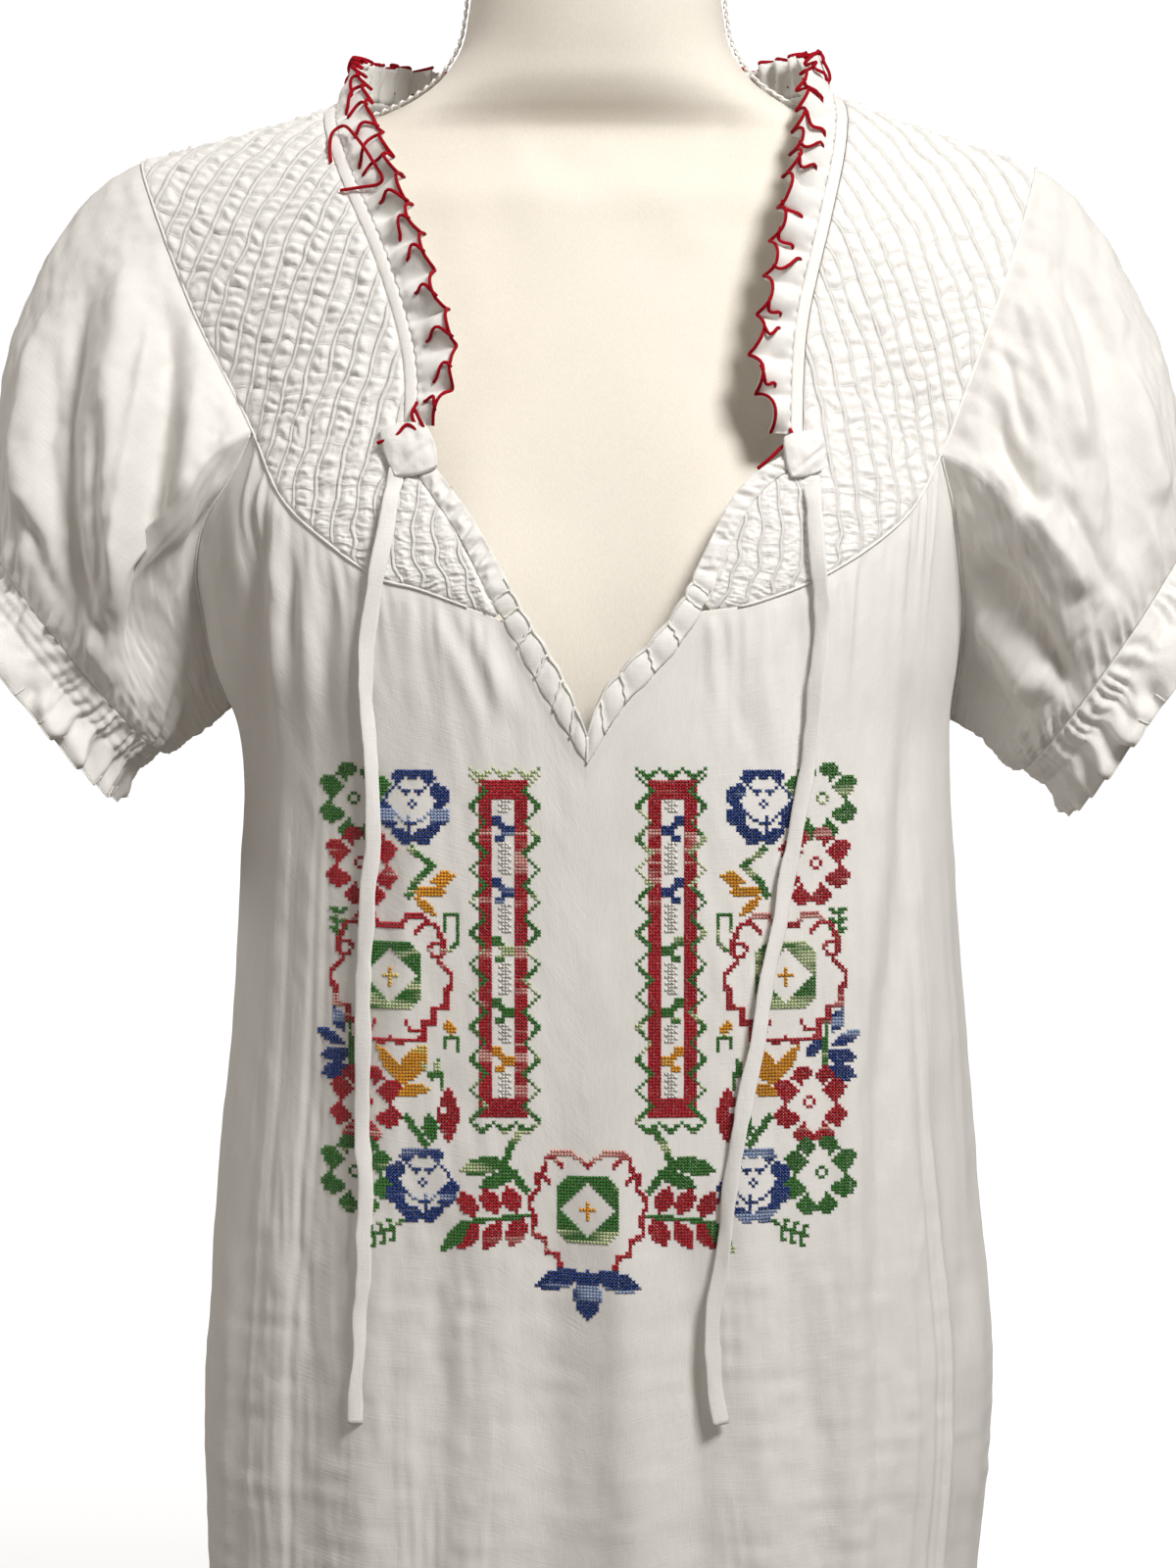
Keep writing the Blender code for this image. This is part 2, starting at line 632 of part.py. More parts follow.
def cuff_grid(edge, high, low):
    """Shirred band and frill beyond the sleeve's end, waved round the ring."""
    high = np.array(high, float) * MM
    low = np.array(low, float) * MM
    along = unit(high - low)
    outward = unit(np.cross(along, np.array([0.0, 1.0, 0.0])))
    if outward[2] > 0:
        outward = -outward
    first = with_middles(edge, True)
    centre = (high + low) / 2
    count = len(first)
    radial = first - centre
    radial = unit(radial - (radial @ outward)[:, None] * outward)
    phase = np.arange(count) * 2 * math.pi * CUFF_WAVES / count
    wave = np.cos(phase + 0.3)[:, None] * 1.1
    rows = [first]
    steps = ((CUFF_BAND_WIDTH, -0.0006, 0.28),
             (CUFF_BAND_WIDTH + CUFF_FRILL_WIDTH, CUFF_FLARE, 1.0))
    for reach, flare, share in steps:
        lift = flare + wave * share * CUFF_WAVE_DEPTH
        rows.append(first + outward * reach + radial * lift)
    return np.stack(rows, axis=1)


def shared_normals(pieces):
    """Mean normal at every point that several grids share."""
    total = {}
    for grid, normal in pieces:
        for p, n in zip(grid.reshape(-1, 3), normal.reshape(-1, 3)):
            key = tuple(np.round(p * 1e6).astype(int))
            total[key] = total.get(key, 0) + n
    for grid, normal in pieces:
        flat = normal.reshape(-1, 3)
        for i, p in enumerate(grid.reshape(-1, 3)):
            key = tuple(np.round(p * 1e6).astype(int))
            flat[i] = unit(np.asarray(total[key]))
        normal[...] = flat.reshape(normal.shape)


def pull_rim(grid, normal, closed, gap=SEAM_GAP / 2, free=(), pointed=False):
    """Offsets for a grid's rim, so that each seam edge stops short of its seam."""
    moves = np.zeros_like(grid)
    nu, nv = grid.shape[:2]
    if closed:
        for j in (0, nv - 1):
            if j in free:
                continue
            step = rim_offset(grid[:, j], normal[:, j], gap, True)
            inward = grid[:, 1] - grid[:, 0] if j == 0 else grid[:, -2] - grid[:, -1]
            sign = np.sign(np.sum(step * inward, axis=1))[:, None]
            moves[:, j] = step * sign
        return moves
    loop = [(i, 0) for i in range(nu)]
    if pointed:
        loop += [(i, nv - 1) for i in range(nu - 2, 0, -1)]
    else:
        loop += [(nu - 1, j) for j in range(1, nv)]
        loop += [(i, nv - 1) for i in range(nu - 2, -1, -1)]
        loop += [(0, j) for j in range(nv - 2, 0, -1)]
    points = np.array([grid[k] for k in loop])
    normals = np.array([normal[k] for k in loop])
    step = rim_offset(points, normals, gap, True)
    middle = loop.index((nu // 2, 0))
    inward = grid[nu // 2, 1] - grid[nu // 2, 0]
    if step[middle] @ inward < 0:
        step = -step
    for k, move in zip(loop, step):
        moves[k] = move
    if pointed:
        moves[0] = moves[0, 0]
        moves[-1] = moves[-1, 0]
    return moves


def form_ring(row, sides):
    """One section of the dress form, with the bust as two soft mounds at the front."""
    height, half, front, back, bust = row
    turn = np.arange(sides) * 2 * math.pi / sides
    e = 2.0 / FORM_POWER
    cos, sin = np.cos(turn), np.sin(turn)
    x = half * np.sign(cos) * np.abs(cos) ** e
    y = -np.where(sin > 0, front, back) * np.sign(sin) * np.abs(sin) ** e
    mound = np.exp(-((np.abs(x) - 62) / 34.0) ** 2) * np.maximum(sin, 0)
    y = y - bust * mound
    return np.column_stack([x, y, np.full(sides, float(height))]) * MM


def dress_form(look):
    """Limbless torso with a neck, flat underneath, lofted through its rings."""
    heights = [row[0] for row in FORM_RINGS]
    extra = [410, 470, 525, 575, 625, 670]
    rings = []
    for height in sorted(heights + extra):
        row = [height] + [float(lookup(FORM_RINGS, c, height)) for c in (1, 2, 3, 4)]
        rings.append(form_ring(row, FORM_SIDES))
    mesh = bpy.data.meshes.new("form_torso")
    bm = bmesh.new()
    loops = [[bm.verts.new(p) for p in ring] for ring in rings]
    for a, b in zip(loops, loops[1:]):
        for i in range(FORM_SIDES):
            k = (i + 1) % FORM_SIDES
            bm.faces.new((a[i], a[k], b[k], b[i]))
    bm.faces.new(loops[0])
    crown = bm.verts.new((0.0, 0.001, 0.889))
    for i in range(FORM_SIDES):
        bm.faces.new((loops[-1][i], loops[-1][(i + 1) % FORM_SIDES], crown))
    bmesh.ops.recalc_face_normals(bm, faces=bm.faces)
    bm.to_mesh(mesh)
    bm.free()
    mesh.shade_smooth()
    mesh.materials.append(look)
    return bpy.data.objects.new("form_torso", mesh)


def braid(name, side, look):
    """Looped trim on the form's side neck and shoulder, as a round cord."""
    data = bpy.data.curves.new(name, "CURVE")
    data.dimensions = "3D"
    data.bevel_depth = BRAID_RADIUS
    data.bevel_resolution = 1
    data.use_fill_caps = True
    line = data.splines.new("POLY")
    points = []
    for k, height in enumerate(BRAID_HEIGHTS):
        half = float(lookup(FORM_RINGS, 1, height))
        low = float(lookup(FORM_RINGS, 1, height - 2))
        high = float(lookup(FORM_RINGS, 1, min(height + 2, 880)))
        out = unit(np.array([4.0, low - high]))
        off = BRAID_RADIUS / MM + 1.3
        points.append((side * (half + out[0] * off), 1.0, height + out[1] * off))
    line.points.add(len(points) - 1)
    for point, place in zip(line.points, points):
        point.co = (place[0] * MM, place[1] * MM, place[2] * MM, 1.0)
    data.materials.append(look)
    return bpy.data.objects.new(name, data)


def tie(name, table, look):
    """Flat tape that hangs in front of the body and turns a little on its way down."""
    rows = evenly(spline(table), 26)
    x, z, turn = rows[:, 0], rows[:, 1], np.radians(rows[:, 2])
    y = front_depth(x, z) - TIE_STAND_OFF / MM - 3.0 * np.exp(-((z - 568) / 22.0) ** 2)
    top = smooth_step((z - 590) / 10.0)
    y = y * (1 - top) + (front_depth(x, z) - (TAB_LIFT - TAB_WALL / 2) / MM) * top
    middle = np.column_stack([x, y, z]) * MM
    across = np.column_stack([np.cos(turn), np.sin(turn) * 0.8, np.zeros(len(x))])
    along = unit(np.gradient(middle, axis=0))
    across = unit(across - np.sum(across * along, axis=1)[:, None] * along)
    face = unit(np.cross(across, along))
    face = np.where(face[:, 1:2] > 0, -face, face)
    edges = np.stack([middle - across * TIE_WIDTH / 2, middle + across * TIE_WIDTH / 2], axis=1)
    outer = edges + face[:, None] * TIE_WALL / 2
    inner = edges - face[:, None] * TIE_WALL / 2
    return wall(name, outer, inner, False, look)


def tab(name, corners, lift, look):
    """Small folded end of the casing, lying over the top of the slit facing."""
    corners = np.array(corners, float)
    u = np.linspace(0, 1, 4)[:, None, None]
    v = np.linspace(0, 1, 3)[None, :, None]
    flat = ((1 - u) * (1 - v) * corners[0] + u * (1 - v) * corners[1]
            + u * v * corners[2] + (1 - u) * v * corners[3])
    y = front_depth(flat[..., 0], flat[..., 1]) - lift
    swell = np.sin(u[..., 0] * math.pi) * np.sin(v[..., 0] * math.pi) * 1.0
    grid = np.stack([flat[..., 0], y - swell, flat[..., 1]], axis=-1) * MM
    normal = grid_normals(grid, False)
    normal = np.where(normal[..., 1:2] > 0, -normal, normal)
    return wall(name, grid, grid - normal * TAB_WALL, False, look)


def build():
    """Make every piece and link them in one collection."""
    remove_scene_objects()
    blouse = bpy.data.collections.new("peasant_blouse")
    bpy.context.scene.collection.children.link(blouse)
    cotton = material("white_cotton", (0.86, 0.85, 0.83), 0.9)
    smocked = material("smocked_cotton", (0.87, 0.86, 0.84), 0.9)
    frill = material("frill_cotton", (0.88, 0.85, 0.84), 0.9)
    band = material("band_cotton", (0.89, 0.88, 0.86), 0.85)
    jersey = material("form_jersey", (0.86, 0.82, 0.77), 0.95)
    trim = material("form_trim", (0.83, 0.80, 0.75), 0.8)

    seams = Seams()
    plain_yoke = yoke_grid(seams)
    front_top = np.vstack([
        seams.raglan_front_left[::-1],
        seams.front_left[::-1][1:],
        seams.slit_left_outer[SEG_SLIT_YOKE + 1:],
        seams.slit_right_outer[SEG_SLIT_YOKE:-1][::-1],
        seams.front_right[::-1][1:],
        seams.raglan_front_right[1:],
    ])
    front = panel_grid(front_top, ROWS_FRONT, False, FRONT_FOLDS,
                       SEG_RAGLAN + 1, len(front_top) - SEG_RAGLAN - 2)
    back_top = np.vstack([seams.raglan_back_left[::-1], seams.back[1:],
                          seams.raglan_back_right[1:]])
    back = panel_grid(back_top, ROWS_BACK, True, BACK_FOLDS,
                      SEG_RAGLAN + 1, len(back_top) - SEG_RAGLAN - 2)
    ring_left = np.vstack([seams.raglan_front_left[::-1], seams.over_left_front[1:],
                           seams.over_left_back[1:], seams.raglan_back_left[1:-1]])
    ring_right = np.vstack([seams.raglan_front_right[::-1],
                            seams.over_right_front[::-1][1:],
                            seams.over_right_back[::-1][1:],
                            seams.raglan_back_right[1:-1]])
    sleeve_left = sleeve_grid(ring_left, PUFF_LEFT, CUFF_LEFT_HIGH, CUFF_LEFT_LOW,
                              SLEEVE_FOLDS_LEFT)
    sleeve_right = sleeve_grid(ring_right, PUFF_RIGHT, CUFF_RIGHT_HIGH, CUFF_RIGHT_LOW,
                               SLEEVE_FOLDS_RIGHT)
    cuff_left = cuff_grid(sleeve_left[:, -1], CUFF_LEFT_HIGH, CUFF_LEFT_LOW)
    cuff_right = cuff_grid(sleeve_right[:, -1], CUFF_RIGHT_HIGH, CUFF_RIGHT_LOW)

    # Outward normals, then one normal for each seam point
    grids = {
        "yoke": (plain_yoke, False), "front_panel": (front, False),
        "back_panel": (back, False), "sleeve_left": (sleeve_left, True),
        "sleeve_right": (sleeve_right, True), "cuff_left": (cuff_left, True),
        "cuff_right": (cuff_right, True),
    }
    normals = {}
    for name, (grid, closed) in grids.items():
        normal = grid_normals(grid, closed)
        middle = grid.reshape(-1, 3).mean(axis=0)
        if name in ("yoke", "front_panel", "back_panel"):
            middle = np.array([0.0, 0.0, middle[2] - 0.05])
        if np.sum(normal * (grid - middle)) < 0:
            normal = -normal
        normals[name] = normal
    shared_normals([(grids[name][0], normals[name]) for name in grids])
    for side in ("left", "right"):
        n = normals["sleeve_" + side]
        n[1::2, 0] = (n[0::2, 0] + np.roll(n[0::2, 0], -1, axis=0)) / 2
        c = normals["cuff_" + side]
        c[1::2, 0] = (c[0::2, 0] + np.roll(c[0::2, 0], -1, axis=0)) / 2

    made = []

    # Yoke: smocking is raised on the outer sheet only
    grid, normal = plain_yoke, normals["yoke"]
    outer = grid.copy()
    nu, nv = grid.shape[:2]
    i, j = np.meshgrid(np.arange(nu), np.arange(nv), indexing="ij")
    raised = ((i + j) % 2 == 0) & (i > 0) & (i < nu - 1) & (j > 0) & (j < nv - 1)
    moves = pull_rim(grid, normal, False, pointed=True)
    outer = grid + moves + normal * (raised * SMOCK_RAISE)[..., None]
    inner = grid + moves - normal * YOKE_WALL
    made.append(wall("yoke", outer, inner, False, smocked))

    # Body panels
    for name, grid in (("front_panel", front), ("back_panel", back)):
        normal = normals[name]
        moves = pull_rim(grid, normal, False)
        made.append(wall(name, grid + moves, grid + moves - normal * PANEL_WALL, False, cotton))

    # Sleeves and cuffs
    for name, thick, look in (("sleeve_left", SLEEVE_WALL, cotton),
                              ("sleeve_right", SLEEVE_WALL, cotton),
                              ("cuff_left", FRILL_WALL, frill),
                              ("cuff_right", FRILL_WALL, frill)):
        grid = grids[name][0]
        normal = normals[name]
        moves = pull_rim(grid, normal, True, free=(grid.shape[1] - 1,) if "cuff" in name else ())
        made.append(wall(name, grid + moves, grid + moves - normal * thick, True, look))

    # Binding along the neck line, and the frill that stands on it
    part = slice(SEG_SLIT_YOKE, len(plain_yoke) - SEG_SLIT_YOKE)
    neck = plain_yoke[part, 0]
    normal = normals["yoke"][part, 0]
    tangent = unit(np.gradient(neck, axis=0))
    across = unit(np.cross(tangent, normal))
    toward = plain_yoke[part, 1] - neck
    across = across * np.sign(np.sum(across * toward, axis=1))[:, None]
    strip = np.stack([neck - across * BINDING_WIDTH, neck - across * SEAM_GAP], axis=1)
    lift = normal[:, None] * 0.0006
    made.append(wall("neck_binding", strip + lift,
                     strip + lift - normal[:, None] * BAND_WALL, False, band))
    base = neck - across * (BINDING_WIDTH + SEAM_GAP)
    fine = evenly_on_chords(base, 4)
    fine_across = unit(evenly_on_chords(across, 4))
    fine_normal = unit(evenly_on_chords(normal, 4))
    count = len(fine)
    share = np.linspace(0, 1, count)
    rear = smooth_step((share - 0.16) / 0.16) * smooth_step((0.84 - share) / 0.16)
    up = np.array([0.0, 0.0, 1.0])
    lean = -fine_across * (0.95 - 0.45 * rear)[:, None] + fine_normal * 0.34
    lean = unit(lean + up * (0.55 * rear)[:, None])
    tangent = unit(np.gradient(fine, axis=0))
    side = unit(np.cross(tangent, lean))
    side = np.where(np.sum(side * fine_normal, axis=1)[:, None] < 0, -side, side)
    wave = np.cos(np.arange(count) * math.pi / 2 + 0.35)[:, None] * 1.06
    rows = [fine, fine + lean * NECK_FRILL_WIDTH + side * wave * NECK_WAVE_DEPTH]
    ruffle = np.stack(rows, axis=1)[2:-2]
    fine_normal = fine_normal[2:-2]
    side = side[2:-2]
    flat = grid_normals(ruffle, False)
    flat = np.where(np.sum(flat * side[:, None], axis=-1, keepdims=True) < 0, -flat, flat)
    flat[:, 0] = fine_normal
    made.append(wall("neck_ruffle", ruffle, ruffle - flat * FRILL_WALL, False, frill))

    # Facing round the slit
    inner_edge = np.vstack([seams.slit_left, seams.slit_right[:-1][::-1]])
    outer_edge = np.vstack([seams.slit_left_outer, seams.slit_right_outer[:-1][::-1]])
    grid = np.stack([outer_edge, inner_edge], axis=1)
    under_tab = np.array([[0.60], [0.75]])
    grid[0] = grid[0] + (grid[1] - grid[0]) * under_tab
    grid[-1] = grid[-1] + (grid[-2] - grid[-1]) * under_tab
    normal = grid_normals(grid, False)
    normal = np.where(normal[..., 1:2] > 0, -normal, normal)
    table = {}
    for name in ("yoke", "front_panel"):
        for p, n in zip(grids[name][0].reshape(-1, 3), normals[name].reshape(-1, 3)):
            table[tuple(np.round(p * 1e6).astype(int))] = n
    for k, p in enumerate(grid[:, 0]):
        normal[k, 0] = table.get(tuple(np.round(p * 1e6).astype(int)), normal[k, 0])
    moves = pull_rim(grid, normal, False)
    made.append(wall("slit_facing", grid + moves + normal * 0.0004,
                     grid + moves - normal * (BAND_WALL - 0.0004), False, band))

    # Tabs and ties
    made.append(tab("tab_left", ((-93, 626), (-72, 622), (-75, 604), (-96, 608)), TAB_LIFT / MM, band))
    made.append(tab("tab_right", ((82, 620), (100, 622), (101, 605), (85, 601)), TAB_LIFT / MM, band))
    made.append(tie("tie_left", TIE_LEFT, band))
    made.append(tie("tie_right", TIE_RIGHT, band))

    # Dress form
    made.append(dress_form(jersey))
    made.append(braid("form_braid_left", -1, trim))
    made.append(braid("form_braid_right", 1, trim))
    for item in made:
        blouse.objects.link(item)


def evenly_on_chords(line, parts):
    """Each chord of a line cut into equal parts, its own points kept."""
    out = []
    for a, b in zip(line, line[1:]):
        for k in range(parts):
            out.append(a + (b - a) * k / parts)
    out.append(line[-1])
    return np.array(out)


build()
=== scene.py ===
"""Looks of a short-sleeved smocked peasant blouse on a limbless dress form.

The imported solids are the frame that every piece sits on. The blouse faces -Y. Tables and shape
functions are in millimetres, left is -X as seen by someone facing the blouse, and meshes are in
metres. Each cloth piece is a thin closed shell: a grid of points on the cloth, lifted along its
normals by folds, gathers and smocking, with a plain inner sheet behind it.
"""

import functools
import json
import math

import bpy
import numpy as np
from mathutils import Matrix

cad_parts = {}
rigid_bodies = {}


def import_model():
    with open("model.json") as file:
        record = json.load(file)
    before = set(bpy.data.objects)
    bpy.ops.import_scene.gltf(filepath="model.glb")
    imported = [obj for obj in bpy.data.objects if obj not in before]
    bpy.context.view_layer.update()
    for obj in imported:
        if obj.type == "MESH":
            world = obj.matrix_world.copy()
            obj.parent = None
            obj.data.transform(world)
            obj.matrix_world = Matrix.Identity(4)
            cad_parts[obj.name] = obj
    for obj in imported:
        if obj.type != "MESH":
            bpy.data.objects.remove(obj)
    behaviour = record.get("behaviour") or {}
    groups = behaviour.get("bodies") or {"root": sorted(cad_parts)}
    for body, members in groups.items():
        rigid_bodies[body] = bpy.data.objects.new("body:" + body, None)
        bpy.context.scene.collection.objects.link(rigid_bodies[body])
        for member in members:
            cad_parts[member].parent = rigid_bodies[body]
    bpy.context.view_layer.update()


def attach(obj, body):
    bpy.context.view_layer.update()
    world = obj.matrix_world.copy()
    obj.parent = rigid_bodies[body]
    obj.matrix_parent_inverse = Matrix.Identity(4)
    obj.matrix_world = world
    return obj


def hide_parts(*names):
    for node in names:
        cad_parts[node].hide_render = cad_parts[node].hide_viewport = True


bl_info = {
    "name": "Smocked Peasant Blouse",
    "version": (1, 0, 0),
    "blender": (4, 5, 0),
    "location": "View3D > Sidebar > Blouse",
    "description": "Builds the cloth, smocking, stitching and dress form of a peasant blouse",
    "category": "Object",
}

for item in list(bpy.data.objects):
    bpy.data.objects.remove(item, do_unlink=True)
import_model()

MM = 0.001
HEM = 55.0
SECTION_POWER = 2.5

# Body of the blouse: height, left half width, right half width, front depth, back depth
BODY_RINGS = (
    (55, 177, 174, 127, 119), (118, 179, 177, 128, 121), (160, 180, 181, 129, 122),
    (207, 179, 182, 129, 122), (254, 176, 178, 130, 121), (301, 172, 174, 131, 120),
    (340, 168, 171, 131, 119), (382, 165, 168, 132, 118), (430, 163, 165, 132, 116),
    (468, 162, 163, 133, 114), (495, 166, 163, 133, 113), (520, 176, 166, 132, 112),
    (547, 181, 168, 130, 111), (570, 186, 170, 126, 110), (590, 186, 172, 121, 108),
    (612, 180, 173, 115, 105), (640, 175, 172, 107, 101),
)

# Neck line, from the left tie over the left shoulder and round the back: x, y, z
NECK_LINE = (
    (-84, -104, 617), (-85, -94, 654), (-97, -77, 696), (-116, -48, 741), (-125, -8, 770),
    (-119, 28, 779), (-92, 62, 779), (-48, 82, 774), (0, 88, 771), (46, 82, 775),
    (86, 62, 781), (110, 28, 783), (115, -8, 775), (113, -36, 753), (105, -65, 719),
    (94, -85, 674), (91, -94, 645), (90, -104, 612),
)

# Lower edge of the smocked yoke, from the left of the slit round the back: x, y, z
YOKE_SEAM = (
    (-40, -130, 539), (-75, -125, 552), (-93, -119, 557), (-113, -110, 570),
    (-137, -92, 592), (-152, -68, 623), (-162, -60, 642), (-179, -47, 674),
    (-194, -31, 709), (-206, -13, 740), (-209, 4, 751), (-207, 24, 744), (-197, 45, 716),
    (-182, 60, 684), (-165, 71, 655), (-152, 77, 638), (-115, 92, 618), (-60, 103, 606),
    (0, 106, 602), (60, 103, 606), (115, 92, 616), (150, 77, 635), (162, 71, 652),
    (178, 60, 682), (191, 45, 712), (200, 24, 740), (203, 4, 748), (199, -13, 735),
    (189, -31, 704), (177, -47, 673), (163, -60, 637), (153, -69, 613), (136, -93, 585),
    (103, -115, 561), (69, -126, 547), (45, -130, 543),
)

# Armhole seams, from the yoke down to the underarm: x, y, z
RAGLAN_FRONT_LEFT = ((-152, -68, 623), (-163, -64, 602), (-175, -56, 584), (-180, -45, 563),
                     (-179, -33, 545), (-174, -15, 515), (-168, 0, 499))
RAGLAN_BACK_LEFT = ((-152, 77, 638), (-168, 69, 607), (-178, 57, 578), (-180, 38, 548),
                    (-175, 16, 516), (-168, 0, 499))
RAGLAN_FRONT_RIGHT = ((153, -69, 613), (159, -62, 590), (163, -51, 565), (166, -38, 545),
                      (166, -18, 518), (164, 0, 493))
RAGLAN_BACK_RIGHT = ((150, 77, 635), (160, 69, 604), (167, 54, 574), (169, 36, 546),
                     (167, 16, 514), (164, 0, 493))

# Slit edges at the front, from the ties down to the point: x, z
SLIT_LEFT = ((-80, 619), (-54, 584), (-37, 554), (-31, 543), (-14, 515), (-4, 491))
SLIT_LEFT_OUTER = ((-86, 614), (-61, 578), (-46, 549), (-40, 539), (-24, 509), (-4, 477))
SLIT_RIGHT = ((87, 614), (70, 604), (58, 591), (47, 570), (36, 548), (24, 532), (13, 521),
              (2, 508), (-4, 491))
SLIT_RIGHT_OUTER = ((90, 608), (75, 598), (65, 586), (55, 566), (45, 543), (33, 525),
                    (22, 513), (10, 500), (-4, 477))

# Sleeve puff: turn round the sleeve in degrees, push off the armhole, push on to the cuff
PUFF_LEFT = ((0, (-10, 0, -8), (10, 0, 0)), (90, (-30, -26, -8), (8, -30, 28)),
             (180, (-51, 0, -16), (-11, 0, 67)), (270, (-30, 26, -8), (8, 30, 28)))
PUFF_RIGHT = ((0, (14, 0, -5), (-10, 0, 0)), (90, (32, -26, -8), (-8, -30, 28)),
              (180, (34, 0, -14), (12, 0, 72)), (270, (26, 26, -8), (-8, 30, 28)))
CUFF_LEFT = ((-278, 0, 574), (-202, 0, 479))
CUFF_RIGHT = ((272, 0, 578), (198, 0, 471))
CUFF_HALF_DEPTH = 48

# Folds as seen from the front: half width at its start and end, height (a trough is
# negative), how fast it rises at its start and fades at its end, then x, z along it
FRONT_FOLDS = (
    (7, 9, -6.0, 3, 2, ((-149, 592), (-152, 560), (-151, 520), (-148, 450))),
    (5, 7, 3.6, 3, 2, ((-140, 582), (-142, 540), (-141, 470))),
    (4, 5, -2.6, 3, 2, ((-134, 577), (-135, 540), (-134, 486))),
    (4, 6, 2.2, 3, 2, ((-126, 572), (-126, 535), (-124, 480))),
    (5, 7, -2.6, 3, 2, ((-117, 566), (-118, 520), (-116, 455))),
    (5, 8, 2.2, 3, 2, ((-107, 562), (-108, 515), (-104, 440))),
    (4, 6, 2.4, 4, 2, ((-71, 549), (-60, 522), (-50, 486))),
    (4, 6, -1.2, 4, 2, ((-64, 547), (-52, 518), (-42, 488))),
    (4, 6, 2.2, 4, 2, ((-55, 543), (-44, 516), (-37, 494))),
    (4, 6, -2.0, 4, 2, ((60, 547), (58, 520), (60, 480))),
    (4, 6, 2.2, 4, 2, ((73, 551), (71, 520), (73, 470))),
    (5, 7, -2.2, 4, 2, ((88, 556), (87, 520), (90, 460))),
    (7, 8, -3.8, 3, 6, ((139, 520), (139, 486), (135, 419), (125, 334), (127, 175), (131, 60))),
    (8, 9, 3.0, 3, 6, ((124, 500), (123, 430), (111, 334), (112, 175), (116, 60))),
    (7, 8, -3.4, 4, 6, ((150, 350), (158, 290), (166, 240), (168, 60))),
    (9, 12, 2.6, 4, 6, ((-75, 470), (-84, 400), (-88, 300))),
    (13, 18, -5.6, 3, 9, ((-16, 340), (-22, 250), (-22, 170), (-16, 60))),
    (9, 14, 4.2, 3, 9, ((8, 310), (13, 225), (20, 60))),
    (7, 11, -3.0, 3, 9, ((37, 290), (42, 225), (46, 60))),
    (8, 12, 3.0, 3, 9, ((66, 300), (70, 220), (78, 60))),
    (8, 12, -2.8, 3, 9, ((90, 250), (98, 150), (104, 60))),
    (9, 13, -3.8, 3, 9, ((-118, 400), (-128, 260), (-136, 60))),
    (9, 13, 3.4, 3, 9, ((-92, 340), (-98, 210), (-104, 60))),
    (7, 10, -2.8, 3, 9, ((-66, 300), (-68, 200), (-74, 60))),
)
BACK_FOLDS = (
    (9, 12, -5.0, 4, 9, ((-90, 600), (-96, 450), (-104, 60))),
    (8, 12, 4.4, 4, 9, ((-58, 600), (-62, 420), (-68, 60))),
    (7, 10, -3.2, 4, 5, ((-34, 600), (-36, 480), (-42, 300))),
    (10, 16, -5.0, 4, 9, ((-8, 600), (-10, 350), (-6, 60))),
    (8, 11, 3.6, 4, 5, ((20, 600), (22, 470), (30, 280))),
    (8, 12, 4.4, 4, 9, ((48, 600), (52, 400), (60, 60))),
    (9, 12, -5.0, 4, 9, ((90, 600), (98, 430), (108, 60))),
    (7, 10, 3.4, 4, 9, ((120, 560), (128, 400), (140, 60))),
)
SLEEVE_FOLDS_LEFT = (
    (7, 9, -8.0, 4, 4, ((-188, 712), (-189, 665), (-197, 600), (-203, 540), (-209, 505))),
    (5, 7, 3.0, 4, 4, ((-176, 660), (-180, 610), (-188, 560), (-196, 520))),
    (8, 10, 6.5, 4, 4, ((-208, 718), (-216, 650), (-217, 580), (-214, 530))),
    (7, 8, -8.0, 4, 4, ((-230, 705), (-242, 630), (-238, 570), (-228, 525))),
    (5, 7, 4.5, 4, 4, ((-252, 680), (-262, 620), (-256, 575))),
    (4, 5, -4.0, 4, 4, ((-219, 640), (-222, 590), (-218, 545))),
    (3, 4, 2.6, 4, 4, ((-198, 690), (-203, 640), (-210, 585), (-213, 548))),
    (3, 4, -2.6, 4, 4, ((-246, 670), (-250, 620), (-244, 575))),
    (3, 5, -3.0, 4, 4, ((-262, 600), (-250, 560), (-236, 530))),
    (3, 5, 2.8, 4, 4, ((-236, 560), (-228, 530), (-218, 506))),
)
SLEEVE_FOLDS_RIGHT = (
    (6, 7, -8.5, 4, 4, ((176, 640), (181, 618), (190, 596), (197, 586))),
    (6, 7, 6.5, 4, 4, ((172, 612), (190, 590), (208, 566), (218, 548))),
    (8, 9, -6.5, 4, 4, ((210, 726), (228, 660), (238, 600), (238, 550))),
    (6, 7, 5.0, 4, 4, ((196, 690), (210, 648), (218, 610))),
    (6, 8, -7.0, 4, 4, ((168, 572), (186, 548), (206, 518), (222, 496))),
    (5, 7, 5.5, 4, 4, ((168, 548), (184, 526), (202, 500))),
    (5, 6, -4.5, 4, 4, ((166, 524), (180, 506), (194, 488))),
    (5, 6, 4.0, 4, 4, ((238, 660), (250, 620), (256, 590))),
    (3, 4, -3.0, 4, 4, ((180, 668), (186, 640), (196, 610))),
    (3, 4, 2.6, 4, 4, ((186, 700), (196, 660), (206, 625))),
    (3, 5, -3.0, 4, 4, ((206, 600), (222, 570), (236, 545))),
    (3, 5, 2.8, 4, 4, ((196, 520), (212, 500), (224, 486))),
    (3, 4, -2.6, 4, 4, ((222, 700), (236, 660), (246, 625))),
)
